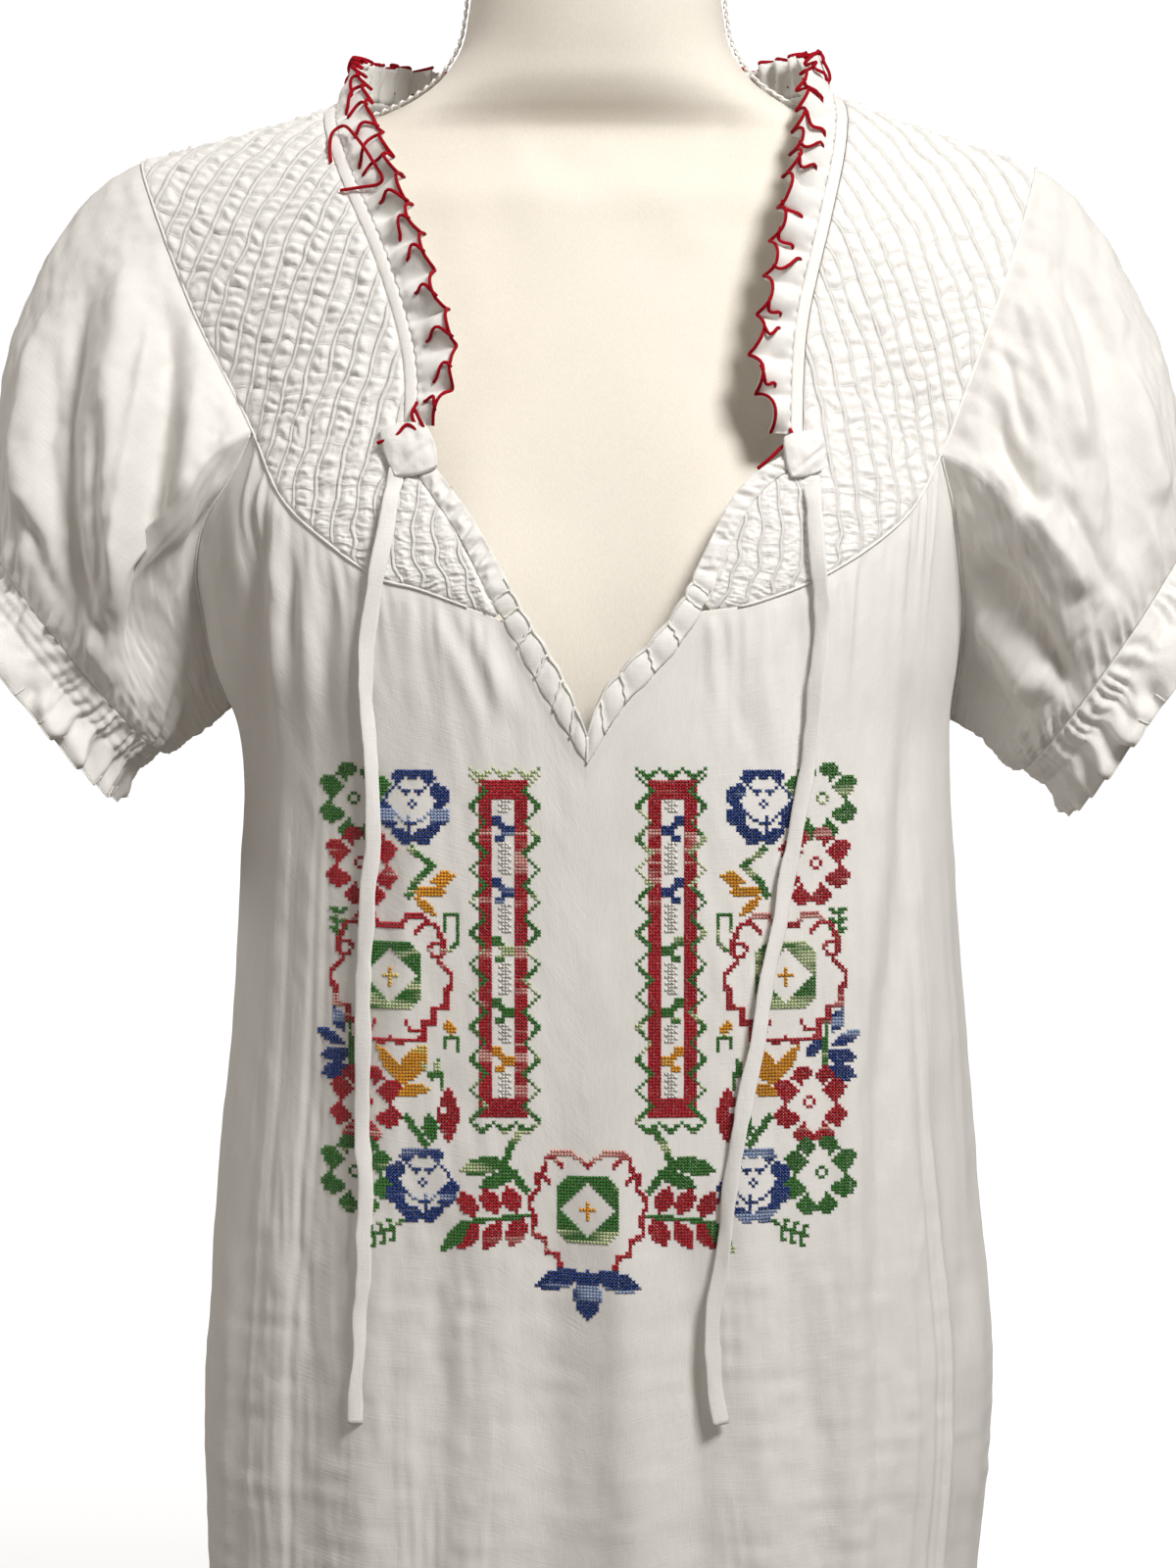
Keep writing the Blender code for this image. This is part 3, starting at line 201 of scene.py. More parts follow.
# Creases of the form's cover at its neck and shoulders
FORM_CREASES = (
    (5, 7, 1.4, 4, 4, ((-44, 770), (-30, 735), (-18, 700))),
    (5, 7, -1.2, 4, 4, ((-28, 756), (-8, 738), (6, 728))),
    (6, 8, 1.2, 4, 4, ((18, 742), (34, 722), (48, 700))),
    (5, 7, -1.1, 4, 4, ((60, 778), (54, 742), (58, 700))),
    (6, 8, 1.0, 4, 4, ((-62, 740), (-60, 700), (-50, 660))),
)

# Dress form: height, half width, front depth, back depth, bust fullness
FORM_RINGS = (
    (0, 150, 104, 100, 0), (8, 155, 109, 104, 0), (100, 157, 111, 108, 0),
    (200, 155, 110, 108, 0), (300, 143, 98, 94, 0), (380, 122, 86, 80, 0),
    (440, 130, 94, 84, 4), (500, 142, 106, 90, 13), (550, 150, 104, 92, 13),
    (600, 158, 93, 90, 6), (650, 168, 79, 84, 0), (690, 176, 64, 74, 0),
    (715, 178, 54, 64, 0), (732, 174, 48, 57, 0), (744, 168, 40, 51, 0),
    (752, 161, 36, 48, 0), (758, 149, 34, 47, 0), (763, 128, 34, 47, 0),
    (768, 108, 37, 48, 0), (774, 92, 42, 50, 0), (782, 78, 47, 52, 0),
    (796, 65, 50, 54, 0), (820, 58, 53, 56, 0), (850, 57, 54, 56, 0),
    (878, 57, 54, 56, 0), (884, 54, 51, 53, 0), (887, 44, 42, 44, 0),
)
FORM_POWER = 2.15
BRAID_HEIGHTS = (872, 850, 830, 818, 809, 802, 796, 791, 786, 782, 777, 772, 768, 764, 761,
                 758, 755, 751)

# Ties, from the tab down to the bare end: x, z, then the turn of the tape in degrees
TIE_LEFT = (
    (-86, 605.2, 0), (-92, 572, 10), (-98, 536, 25), (-99, 503, 35), (-97, 473, 20),
    (-97, 440, 5), (-100, 406, -10), (-101, 363, -20), (-102, 321, -10), (-100, 296, 5),
    (-101, 257, 20), (-103, 220, 30), (-105, 190, 10),
)
TIE_RIGHT = (
    (93, 601.7, 0), (95, 570, -10), (97, 545, -25), (95, 511, -30), (91, 477, -15),
    (85, 444, 0), (80, 414, 10), (74, 385, 20), (68, 351, 10), (62, 321, -5),
    (57, 291, -20), (54, 262, -30), (50, 240, -10), (50, 220, 10), (54, 192, 20),
)
TIE_WIDTH = 7.0
# Corners of the casing tabs that the ties come out of: x, z
TABS = (("left", ((-96, 624), (-73, 626), (-67, 605), (-88, 600))),
        ("right", ((80, 620), (99, 623), (100, 604), (84, 600))))
BINDING_WIDTH = 5.6
NECK_FRILL_WIDTH = 18.0

# Cloth thickness of each kind of piece, thicker than real cloth so that it is a sound shell
BODY_THICK, SLEEVE_THICK, CUFF_THICK = 1.2, 1.1, 0.8
FRILL_THICK, FACING_THICK, TAB_THICK = 0.7, 1.6, 2.0

# Seam parameters: each runs from 0 to its end, and a length of seam takes a set count of units
YOKE_END, FRONT_END, BACK_END, SLEEVE_END, SLIT_END = 72, 40, 28, 25, 22
SHOULDER_LEFT, SHOULDER_RIGHT = 20, 52
NECK_START, NECK_END = 8, 64

# Cuffs: columns round, rows out from the sleeve, reach of the frill and of its edge thread
CUFF_COLUMNS, CUFF_ROWS = 328, 37
CUFF_REACH, CUFF_EDGE = 29, 29.3
CUFF_STITCHES = 29
FRILL_STITCHES = 54

# White threads, and the looped braid's thread: radius, length and half sizes of a loop
WHITE_RADIUS, BRAID_RADIUS = 0.62, 0.62
LOOP_PITCH, LOOP_ACROSS, LOOP_ALONG = 4.4, 2.3, 2.1

# Two blossoms charted in cross stitch
BLOSSOM_OPEN = (
    "......xxxxxxxxxxxx.....", ".....xxxxxxxxxxxxx.....", ".....xxxx.xxx.xxxxx....",
    "......xx.......xxx.....", "......x.........x.xx...", ".....x.x.......x.xxxxx.",
    "....x...xxx.xxx..xxxxxx", "...x.....x...x...xxxxxx", "...x..............xxxxx",
    "..x........x.......xxxx", ".xxx......x.x.....xxxx.", "xxxxx......x......xxx..",
    "xxxxxx...........xxxxxx", ".xxxxxx.........xxxxxxx", ".xxxxx.x..x....x.xxxxxx",
    ".xxxxx..x.x..xx..xxxxxx", "..xxxxx..xxxx....xxxxx.", "...xxx....x.....xxxx...",
    ".....xxxx.x..xxxxxxx...", ".....xxxxxx.xxxxxxx....", "......xxxxxxxxxxxx.....",
    ".......xxxxxxxxxx......", "........xxx..xxxx......",
)
BLOSSOM_RING = (
    ".......xxxx....xx......", "......xxxxxx..xxxx.....", "......xxxxxx.xxxxxx....",
    ".....xxxxxx..xxxxxx....", ".xxxx..xx.....xxx.xxx..", "xxxxxx..x......x.xxxxx.",
    "xxxxxxx.........xxxxxxx", ".xxxxxxx.......xxxxxxx.", ".xxxxxx.........xxxxxx.",
    "..xxxx....xx.....xxxx..", "...xx....x..x.....xx...", "...x.....x..x......x...",
    "..xx......xx.......xx..", ".xxxx.............xxxx.", "xxxxxxx..........xxxxxx",
    "xxxxxxxx........xxxxxxx", ".xxxxxxx........xxxxxx.", ".xxxxxx..x.....x.xxxx..",
    "...xx...xx.....xx..xx..", ".......xxxx...xxxx.....", "......xxxxxx.xxxxxx....",
    "......xxxxxxxxxxxxx....", ".......xxxxxxxxxxx.....", "........xxx...xxx......",
)
# Right half of a rose's scalloped outline and its curls, in stitches from its middle
ROSE_EDGE = ((0, -16.5), (4, -16.5), (5, -19.5), (10, -19.5), (12, -17.5), (15, -16),
             (15.5, -13.5), (16.5, -12), (16.5, -8.5), (15, -6), (17, -3.5), (19, -1),
             (19, 2), (17.5, 3.5), (17.5, 8.5), (13.5, 9), (13.5, 13.5), (10.5, 13),
             (10.5, 18.5), (2, 19.5), (0, 18.5))
ROSE_CURLS = (((11, -17), (9, -15.5), (8, -14.5)), ((16, -11.5), (13, -11), (12, -9)),
              ((15, -6.5), (13, -7.5)), ((10.5, 13.5), (9.5, 16), (6.5, 16), (5, 13.5)))
HEART_EDGE = ((0, -14.5), (3, -17), (5, -18.5), (11, -18.5), (13, -16), (13.5, -13),
              (15.5, -11), (15, -7), (17.5, -5), (18, -2), (16.5, 1), (17, 7), (13.5, 8),
              (12.5, 13), (9, 13.5), (8.5, 18), (4, 19), (0, 20.5))
STITCH_MIDDLE = 84
STITCH_ROWS = 173
THREADS = ("", "red", "green", "blue", "yellow", "white")
# What each variegated thread fades to where it is pale
PALE_THREADS = {"red": (0.80, 0.42, 0.38), "green": (0.62, 0.72, 0.42),
                "blue": (0.36, 0.46, 0.70), "yellow": (0.84, 0.62, 0.16)}
CHART_MIDDLE_X, CHART_TOP_Z = -3.6, 477.0
STITCH_HALF_WIDTH, STITCH_HALF_HEIGHT = 0.50, 0.33

# Loose crimson threads: x, y, z along each
LOOSE_THREADS = (
    ("shoulder_loop", ((-119, -47, 745), (-120, -39, 753), (-119, -33, 760), (-114, -33, 763),
                       (-109, -43, 758), (-104, -56, 751), (-99, -61, 743), (-95, -65, 736),
                       (-97, -64, 733), (-105, -61, 732), (-114, -58, 731))),
    ("left_tail", ((-78, -103, 634), (-80, -107, 628), (-77, -110, 621), (-82, -110, 624),
                   (-87, -110, 619), (-95, -108, 616))),
    ("left_end", ((-79, -104, 631), (-76, -110, 625), (-73, -109, 620))),
    ("slit_end", ((-70, -110, 597), (-66, -113, 598), (-63, -111, 596))),
    ("right_tail", ((84, -100, 624), (85, -107, 618), (80, -108, 614), (76, -108, 610),
                    (70, -107, 605))),
)
# Where the white stitches cross the slit's facing, in its own parameter
SLIT_STITCHES = (7.15, 7.9, 8.5, 9.15, 9.8, 10.4, 11.0, 11.65, 12.25, 12.9, 13.5, 14.15, 14.8)
# Facing that shows beside the yoke, between these parameters, has a thread along its edge
SLIT_THREAD_START, SLIT_THREAD_END = 6.6, 15.4

# Camera in metres, on the photograph's axis, with its scale and frame
CAMERA_PLACE = (-0.0036, -1.75, 0.530)
CAMERA_AIM = (-0.0036, 0.0, 0.464)
PIXELS_PER_MM = 2.2
PHOTO_WIDTH = 1200
SENSOR_WIDTH = 36.0
# Soft lights: name, place in metres, size, power, colour. All face LIGHT_AIM.
LIGHTS = (
    ("key_light", (1.1, -1.75, 2.25), 0.7, 12.4, (1.0, 0.985, 0.96)),
    ("fill_light", (-1.6, -2.3, 1.2), 1.4, 1.0, (1.0, 0.96, 0.91)),
    ("rear_light", (-1.9, 0.5, 1.7), 0.8, 2.3, (1.0, 0.98, 0.95)),
)
LIGHT_AIM = (0.0, 0.0, 0.55)
LIGHT_SPREAD = 75
STUDIO_SIDES = 64

# Straight towards the viewer of the blouse's front
FRONT = np.array((0.0, -1.0, 0.0))


def length_setting(name, description, default):
    """A length in metres that a user may change."""
    return bpy.props.FloatProperty(name=name, description=description, default=default,
                                   unit="LENGTH", subtype="DISTANCE")


def colour_setting(name, description, default):
    """A colour that a user may change."""
    return bpy.props.FloatVectorProperty(name=name, description=description, default=default,
                                         subtype="COLOR", size=3, min=0, max=1)


class ClothSettings(bpy.types.PropertyGroup):
    """Sizes and colours of the blouse's cloth"""

    smock_height: length_setting(
        "Smocking height", "How far the smocked pillows stand up", 0.0019)
    smock_pitch: length_setting(
        "Smocking pitch", "Length of a smocked diamond along the yoke", 0.0150)
    gather_height: length_setting(
        "Gather height", "How far the gathers stand out below a seam", 0.0019)
    crinkle_height: length_setting(
        "Crinkle height", "Depth of the fine crinkles all over the cloth", 0.00042)
    frill_height: length_setting(
        "Frill wave height", "How far the waves of the neck frill swing", 0.0038)
    cotton: colour_setting("Cotton", "Colour of the plain cotton", (0.80, 0.785, 0.762))
    smocked: colour_setting("Smocked cotton", "Colour of the smocked yoke", (0.83, 0.82, 0.80))


class ThreadSettings(bpy.types.PropertyGroup):
    """Sizes and colours of the threads"""

    stitch_size: length_setting("Cross stitch", "Side of one cross stitch", 0.0014)
    edging_radius: length_setting(
        "Edging thread radius", "Half the thickness of the frill's edging", 0.00080)
    crimson: colour_setting("Crimson", "Thread along the neck frill", (0.36, 0.003, 0.012))
    white: colour_setting("White", "Thread along the slit and cuffs", (0.88, 0.87, 0.83))
    red: colour_setting("Red", "Red embroidery thread", (0.52, 0.008, 0.022))
    green: colour_setting("Green", "Green embroidery thread", (0.040, 0.21, 0.030))
    blue: colour_setting("Blue", "Blue embroidery thread", (0.010, 0.045, 0.24))
    yellow: colour_setting("Yellow", "Yellow embroidery thread", (0.86, 0.37, 0.015))


class FormSettings(bpy.types.PropertyGroup):
    """Colours of the dress form"""

    jersey: colour_setting("Jersey", "Colour of the form's jersey cover", (0.84, 0.79, 0.71))
    braid: colour_setting("Braid", "Colour of the looped braid", (0.96, 0.93, 0.87))


def smooth_step(x):
    """0 below 0 and 1 above 1, with an eased slope between."""
    x = np.clip(x, 0.0, 1.0)
    return x * x * (3.0 - 2.0 * x)


def lookup(table, column, where):
    """Smooth value of a table's column at first-column values: a cubic between rows."""
    xs = np.array([row[0] for row in table], float)
    ys = np.array([row[column] for row in table], float)
    where = np.clip(np.asarray(where, float), xs[0], xs[-1])
    slope = np.gradient(ys, xs)
    k = np.clip(np.searchsorted(xs, where) - 1, 0, len(xs) - 2)
    span = xs[k + 1] - xs[k]
    t = (where - xs[k]) / span
    a = (1 + 2 * t) * (1 - t) ** 2 * ys[k] + t * (1 - t) ** 2 * span * slope[k]
    b = t * t * (3 - 2 * t) * ys[k + 1] + t * t * (t - 1) * span * slope[k + 1]
    return a + b


def spline(points, first=0, last=None, fine=24):
    """Dense smooth line through a table's points, between two of its rows."""
    pts = np.array(points, float)
    last = len(pts) - 1 if last is None else last
    ext = np.vstack([2 * pts[0] - pts[1], pts, 2 * pts[-1] - pts[-2]])
    k = np.repeat(np.arange(first, last), fine)
    t = np.tile(np.linspace(0, 1, fine, endpoint=False), last - first)[:, None]
    p0, p1, p2, p3 = ext[k], ext[k + 1], ext[k + 2], ext[k + 3]
    line = 0.5 * (2 * p1 + (p2 - p0) * t + (2 * p0 - 5 * p1 + 4 * p2 - p3) * t * t
                  + (3 * p1 - p0 - 3 * p2 + p3) * t ** 3)
    return np.vstack([line, pts[last]])


def at_share(line, share):
    """Points of a dense line at shares of its length."""
    step = np.linalg.norm(np.diff(line, axis=0), axis=1)
    along = np.concatenate([[0.0], np.cumsum(step)])
    return np.column_stack([np.interp(np.asarray(share) * along[-1], along, line[:, c])
                            for c in range(line.shape[1])])


def trace(stretches, t):
    """Points at seam parameter t, where each stretch of line takes its own count of units."""
    out = np.zeros((len(t), 3))
    start = 0
    for line, units in stretches:
        use = (t >= start - 1e-9) & (t <= start + units + 1e-9)
        out[use] = at_share(line, (t[use] - start) / units)
        start += units
    return out


def spread(*spans):
    """Values from the first span's start to the last one's end: each gives end and count."""
    at = [np.array([spans[0]], float)]
    for end, count in spans[1:]:
        at.append(np.linspace(at[-1][-1], end, count + 1)[1:])
    return np.concatenate(at)


def unit(vectors):
    """Vectors scaled to length one."""
    return vectors / np.maximum(np.linalg.norm(vectors, axis=-1, keepdims=True), 1e-12)


def facing(normals, direction):
    """Normals turned about wherever they point against a direction."""
    against = np.sum(normals * direction, axis=-1, keepdims=True) < 0
    return np.where(against, -normals, normals)


def circle(count):
    """Turns in radians of points set evenly round a circle."""
    return np.arange(count) * 2 * math.pi / count


def body_point(turn, height):
    """Blouse body at a turn (0 left side, 90 front, 180 right side, 270 back): a rounded
    oval whose half sizes come from BODY_RINGS."""
    turn = np.radians(np.asarray(turn, float))
    cos, sin = -np.cos(turn), np.sin(turn)
    e = 2.0 / SECTION_POWER
    half = np.where(cos < 0, lookup(BODY_RINGS, 1, height), lookup(BODY_RINGS, 2, height))
    deep = np.where(sin > 0, lookup(BODY_RINGS, 3, height), lookup(BODY_RINGS, 4, height))
    x = half * np.sign(cos) * np.abs(cos) ** e
    y = -deep * np.sign(sin) * np.abs(sin) ** e
    return np.stack([x, y, height + 0 * x], axis=-1)


def body_turn(x, height, back=False):
    """Turn at which the body has the given x at the given height."""
    x = np.asarray(x, float)
    half = np.where(x < 0, lookup(BODY_RINGS, 1, height), lookup(BODY_RINGS, 2, height))
    cos = np.clip(np.abs(x) / half, 0, 1) ** (SECTION_POWER / 2.0)
    turn = np.degrees(np.arccos(np.where(x < 0, cos, -cos)))
    return 360.0 - turn if back else turn


def front_depth(x, height):
    """y of the blouse front at x and height."""
    return body_point(body_turn(x, height), np.asarray(height, float))[..., 1]


def line_distance(x, z, path):
    """Distance from points to a broken line in the x, z plane, and the share along it."""
    best = np.full(np.shape(x), 1e9)
    share = np.zeros(np.shape(x))
    path = np.array(path, float)
    for k in range(len(path) - 1):
        a, d = path[k], path[k + 1] - path[k]
        t = np.clip(((x - a[0]) * d[0] + (z - a[1]) * d[1]) / (d @ d), 0, 1)
        gap = np.hypot(x - a[0] - t * d[0], z - a[1] - t * d[1])
        share = np.where(gap < best, (k + t) / (len(path) - 1), share)
        best = np.minimum(gap, best)
    return best, share


def fold_height(x, z, folds):
    """Sum of soft ridges and troughs: height times a bell curve of the distance to a line."""
    total = np.zeros(np.shape(x))
    for first, last, height, rise, fade, path in folds:
        low = np.min(path, axis=0) - 3 * max(first, last)
        high = np.max(path, axis=0) + 3 * max(first, last)
        near = (x > low[0]) & (x < high[0]) & (z > low[1]) & (z < high[1])
        gap, share = line_distance(x[near], z[near], path)
        width = first + (last - first) * share
        ends = smooth_step(share * rise + 0.1) * smooth_step((1 - share) * fade + 0.1)
        total[near] += height * ends * np.exp(-(gap / width) ** 2)
    return total


def ripple(u, v, seed):
    """Smooth noise from -1 to 1: random values at whole numbers, eased between them."""
    table = np.random.RandomState(seed).uniform(-1, 1, (128, 128))
    i, j = np.floor(u).astype(int), np.floor(v).astype(int)
    a, b = smooth_step(u - i), smooth_step(v - j)
    low = table[i % 128, j % 128] * (1 - a) + table[(i + 1) % 128, j % 128] * a
    high = table[i % 128, (j + 1) % 128] * (1 - a) + table[(i + 1) % 128, (j + 1) % 128] * a
    return low * (1 - b) + high * b


def grid_normals(grid, closed, inside=None):
    """Unit normal at each point of a grid, from its neighbours. Given a point inside the
    piece, the normals as a whole face away from it."""
    if closed:
        du = np.roll(grid, -1, axis=0) - np.roll(grid, 1, axis=0)
    else:
        du = np.gradient(grid, axis=0)
    normal = unit(np.cross(du, np.gradient(grid, axis=1)))
    if inside is not None and np.sum(normal * (grid - np.array(inside))) < 0:
        normal = -normal
    return normal


def lowest_near(values, reach, closed):
    """Lowest value within reach columns and rows of each grid point."""
    out = values
    for axis in (0, 1):
        pad = "wrap" if closed and axis == 0 else "edge"
        width = [(reach, reach) if k == axis else (0, 0) for k in (0, 1)]
        wide = np.pad(out, width, mode=pad)
        size = values.shape[axis]
        shifts = [np.take(wide, np.arange(size) + k, axis=axis) for k in range(2 * reach + 1)]
        out = np.min(shifts, axis=0)
    return out


def put_mesh(name, points, quads, triangles, look, flat=(), uv=None, tones=None):
    """Mesh object from points in millimetres, four-sided and three-sided faces."""
    mesh = bpy.data.meshes.new(name)
    corners = np.concatenate([np.asarray(quads).reshape(-1), np.asarray(triangles).reshape(-1)])
    sizes = np.concatenate([np.full(len(quads), 4), np.full(len(triangles), 3)])
    mesh.vertices.add(len(points))
    mesh.vertices.foreach_set("co", (points * MM).astype(np.float32).reshape(-1))
    mesh.loops.add(len(corners))
    mesh.loops.foreach_set("vertex_index", corners.astype(np.int32))
    mesh.polygons.add(len(sizes))
    starts = np.concatenate([[0], np.cumsum(sizes)[:-1]])
    mesh.polygons.foreach_set("loop_start", starts.astype(np.int32))
    smooth = np.ones(len(sizes), bool)
    smooth[list(flat)] = False
    mesh.polygons.foreach_set("use_smooth", smooth)
    if uv is not None:
        layer = mesh.uv_layers.new(name="cloth")
        layer.data.foreach_set("uv", uv.astype(np.float32).reshape(-1))
    for key, values in (tones or {}).items():
        layer = mesh.attributes.new(key, "FLOAT", "POINT")
        layer.data.foreach_set("value", values.astype(np.float32))
    mesh.update(calc_edges=True)
    mesh.validate()
    mesh.materials.append(look)
    piece = bpy.data.objects.new(name, mesh)
    bpy.context.scene.collection.objects.link(piece)
    return piece


def shell(name, base, normal, relief, thick, closed, step, look, uv=None, hollow=None):
    """Thin closed shell. Outer sheet: base plus normal times relief. Inner sheet: every
    step-th point, below the lowest relief near it by the cloth's thickness. A rim of
    triangles joins the two along each open edge."""
    nu, nv = base.shape[:2]
    outer = base + normal * relief[..., None]
    low = lowest_near(relief, step, closed) - thick
    inner = (base + normal * low[..., None])[::step, ::step]
    mu, mv = inner.shape[:2]
    cols, rows = (nu if closed else nu - 1), nv - 1
    du, dv = base[1, nv // 2] - base[0, nv // 2], base[0, nv // 2 + 1] - base[0, nv // 2]
    facing = np.sum(np.cross(du, dv) * normal[0, nv // 2]) > 0

    def ids(i, j, side):
        if side == 0:
            return (i % nu) * nv + j, i * nv + j
        return nu * nv + (i % mu) * mv + j, i * step * nv + j * step

    def faces(parts):
        vertex = np.stack([p[0] for p in parts], axis=-1)
        place = np.stack([p[1] for p in parts], axis=-1)
        if not facing:
            vertex, place = vertex[..., ::-1], place[..., ::-1]
        return vertex.reshape(-1, len(parts)), place.reshape(-1, len(parts))

    i, j = np.meshgrid(np.arange(cols), np.arange(rows), indexing="ij")
    top = faces([ids(i, j, 0), ids(i + 1, j, 0), ids(i + 1, j + 1, 0), ids(i, j + 1, 0)])
    i, j = np.meshgrid(np.arange(cols // step), np.arange(rows // step), indexing="ij")
    under = faces([ids(i, j, 1), ids(i, j + 1, 1), ids(i + 1, j + 1, 1), ids(i + 1, j, 1)])
    u, v = np.arange(cols + 1), np.arange(rows + 1)
    if closed:
        loops = [(u, 0 * u), (u[::-1], 0 * u + rows)]
    else:
        loops = [(np.concatenate([u, 0 * v[1:] + cols, u[::-1][1:], 0 * v[1:]]),
                  np.concatenate([0 * u, v[1:], 0 * u[1:] + rows, v[::-1][1:]]))]
    rims = []
    half = (step + 1) // 2
    for a, b in loops:
        s = np.arange(len(a) - 1)
        k = (s // step + ((s % step) >= half)) * step
        rims.append(faces([ids(a[s + 1], b[s + 1], 0), ids(a[s], b[s], 0),
                           ids(a[k] // step, b[k] // step, 1)]))
        k = np.arange((len(a) - 1) // step) * step
        rims.append(faces([ids(a[k] // step, b[k] // step, 1),
                           ids(a[k + step] // step, b[k + step] // step, 1),
                           ids(a[k + half], b[k + half], 0)]))
    quads = np.vstack([top[0], under[0]])
    triangles = np.vstack([r[0] for r in rims])
    place = np.concatenate([top[1].reshape(-1), under[1].reshape(-1)]
                           + [r[1].reshape(-1) for r in rims])
    grid_uv = None
    if uv is not None:
        grid_uv = uv.reshape(-1, 2)[place]
    tones = {}
    # Painted shade: how deep each outer point lies in a hollow, which the smocked look uses to
    # darken the colour there.
    if hollow is not None:
        tones["hollow"] = np.concatenate([hollow.reshape(-1), np.zeros(mu * mv)])
    points = np.vstack([outer.reshape(-1, 3), inner.reshape(-1, 3)])
    flat = range(len(quads), len(quads) + len(triangles))
    return put_mesh(name, points, quads, triangles, look, flat, grid_uv, tones)


def cloth_uv(grid, closed):
    """Metres along and across the cloth at each grid point, from its middle row and column."""
    wide = np.concatenate([grid, grid[:1]]) if closed else grid
    row = wide[:, wide.shape[1] // 2]
    column = wide[wide.shape[0] // 2]
    u = np.concatenate([[0], np.cumsum(np.linalg.norm(np.diff(row, axis=0), axis=1))])
    v = np.concatenate([[0], np.cumsum(np.linalg.norm(np.diff(column, axis=0), axis=1))])
    return np.stack(np.broadcast_arrays(u[:, None], v[None]), axis=-1) * MM


def tubes(name, rings, look, tones=None):
    """Closed tubes: rings has strand, place along it, place round it, and x, y, z. Each end
    is closed on its ring's middle."""
    rings = rings if rings.ndim == 4 else rings[None]
    strands, n, m = rings.shape[:3]
    ends = rings[:, [0, -1]].mean(axis=2)
    points = np.vstack([rings.reshape(-1, 3), ends.reshape(-1, 3)])
    s, i, k = np.meshgrid(np.arange(strands), np.arange(n - 1), np.arange(m), indexing="ij")
    base, after = (s * n + i) * m, (k + 1) % m
    quads = np.stack([base + k, base + after, base + m + after, base + m + k], axis=-1)
    s, k = np.meshgrid(np.arange(strands), np.arange(m), indexing="ij")
    pole, after = strands * n * m + 2 * s, (k + 1) % m
    first = np.stack([s * n * m + after, s * n * m + k, pole], axis=-1)
    base = (s * n + n - 1) * m
    last = np.stack([base + k, base + after, pole + 1], axis=-1)
    quads = quads.reshape(-1, 4)
    triangles = np.concatenate([first.reshape(-1, 3), last.reshape(-1, 3)])
    a, b, c = points[quads[:, 0]], points[quads[:, 1]], points[quads[:, 3]]
    middle = np.repeat(rings.mean(axis=2).reshape(-1, 3), m, axis=0)
    middle = middle.reshape(strands, n, m, 3)[:, :-1].reshape(-1, 3)
    if np.sum(np.cross(b - a, c - a) * (a - middle)) < 0:
        quads, triangles = quads[:, ::-1], triangles[:, ::-1]
    full = {}
    for key, values in (tones or {}).items():
        each = np.repeat(values, n * m)
        full[key] = np.concatenate([each, np.repeat(values, 2)])
    return put_mesh(name, points, quads, triangles, look, (), None, full)


def round_rings(paths, up, radius, sides):
    """Rings square to each path: a circle of the radius, its first point square to up."""
    along = unit(np.gradient(paths, axis=-2))
    side = unit(np.cross(along, up))
    rise = np.cross(side, along)
    turn = circle(sides)
    radius = np.broadcast_to(np.asarray(radius, float), paths.shape[:-1])[..., None, None]
    return (paths[..., None, :] + side[..., None, :] * (np.cos(turn)[:, None] * radius)
            + rise[..., None, :] * (np.sin(turn)[:, None] * radius))


@functools.lru_cache(maxsize=None)
def seam_lines():
    """Dense line of each seam stretch; front ones lie on the body surface."""
    rows = [list(row) for row in YOKE_SEAM]
    for row in rows[:6] + rows[31:]:
        row[1] = float(front_depth(row[0], row[2]))
    lines = {
        "front_left": spline(rows, 0, 5), "over_left_front": spline(rows, 5, 10),
        "over_left_back": spline(rows, 10, 15), "back": spline(rows, 15, 21),
        "over_right_back": spline(rows, 21, 26), "over_right_front": spline(rows, 26, 31),
        "front_right": spline(rows, 31, len(rows) - 1),
        "neck_left": spline(NECK_LINE, 0, 4), "neck_back": spline(NECK_LINE, 4, 12),
        "neck_right": spline(NECK_LINE, 12, 17),
        "raglan_front_left": spline([rows[5], *RAGLAN_FRONT_LEFT[1:]]),
        "raglan_back_left": spline(RAGLAN_BACK_LEFT),
        "raglan_front_right": spline([rows[31], *RAGLAN_FRONT_RIGHT[1:]]),
        "raglan_back_right": spline(RAGLAN_BACK_RIGHT),
    }
    for name, table, knot in (("slit_left", SLIT_LEFT, 3), ("slit_left_outer", SLIT_LEFT_OUTER, 3),
                              ("slit_right", SLIT_RIGHT, 4),
                              ("slit_right_outer", SLIT_RIGHT_OUTER, 4)):
        for part, first, last in (("_upper", 0, knot), ("_lower", knot, None)):
            flat = spline(table, first, last)
            depth = front_depth(flat[:, 0], flat[:, 1])
            line = np.column_stack([flat[:, 0], depth, flat[:, 1]])
            if part == "_upper" and "outer" in name:
                tie = np.array(NECK_LINE[0 if "left" in name else -1], float)
                fade = np.maximum(0, 1 - np.linspace(0, 8, len(line)))[:, None]
                line = line + (tie - line[0]) * fade
            lines[name + part] = line
    return lines


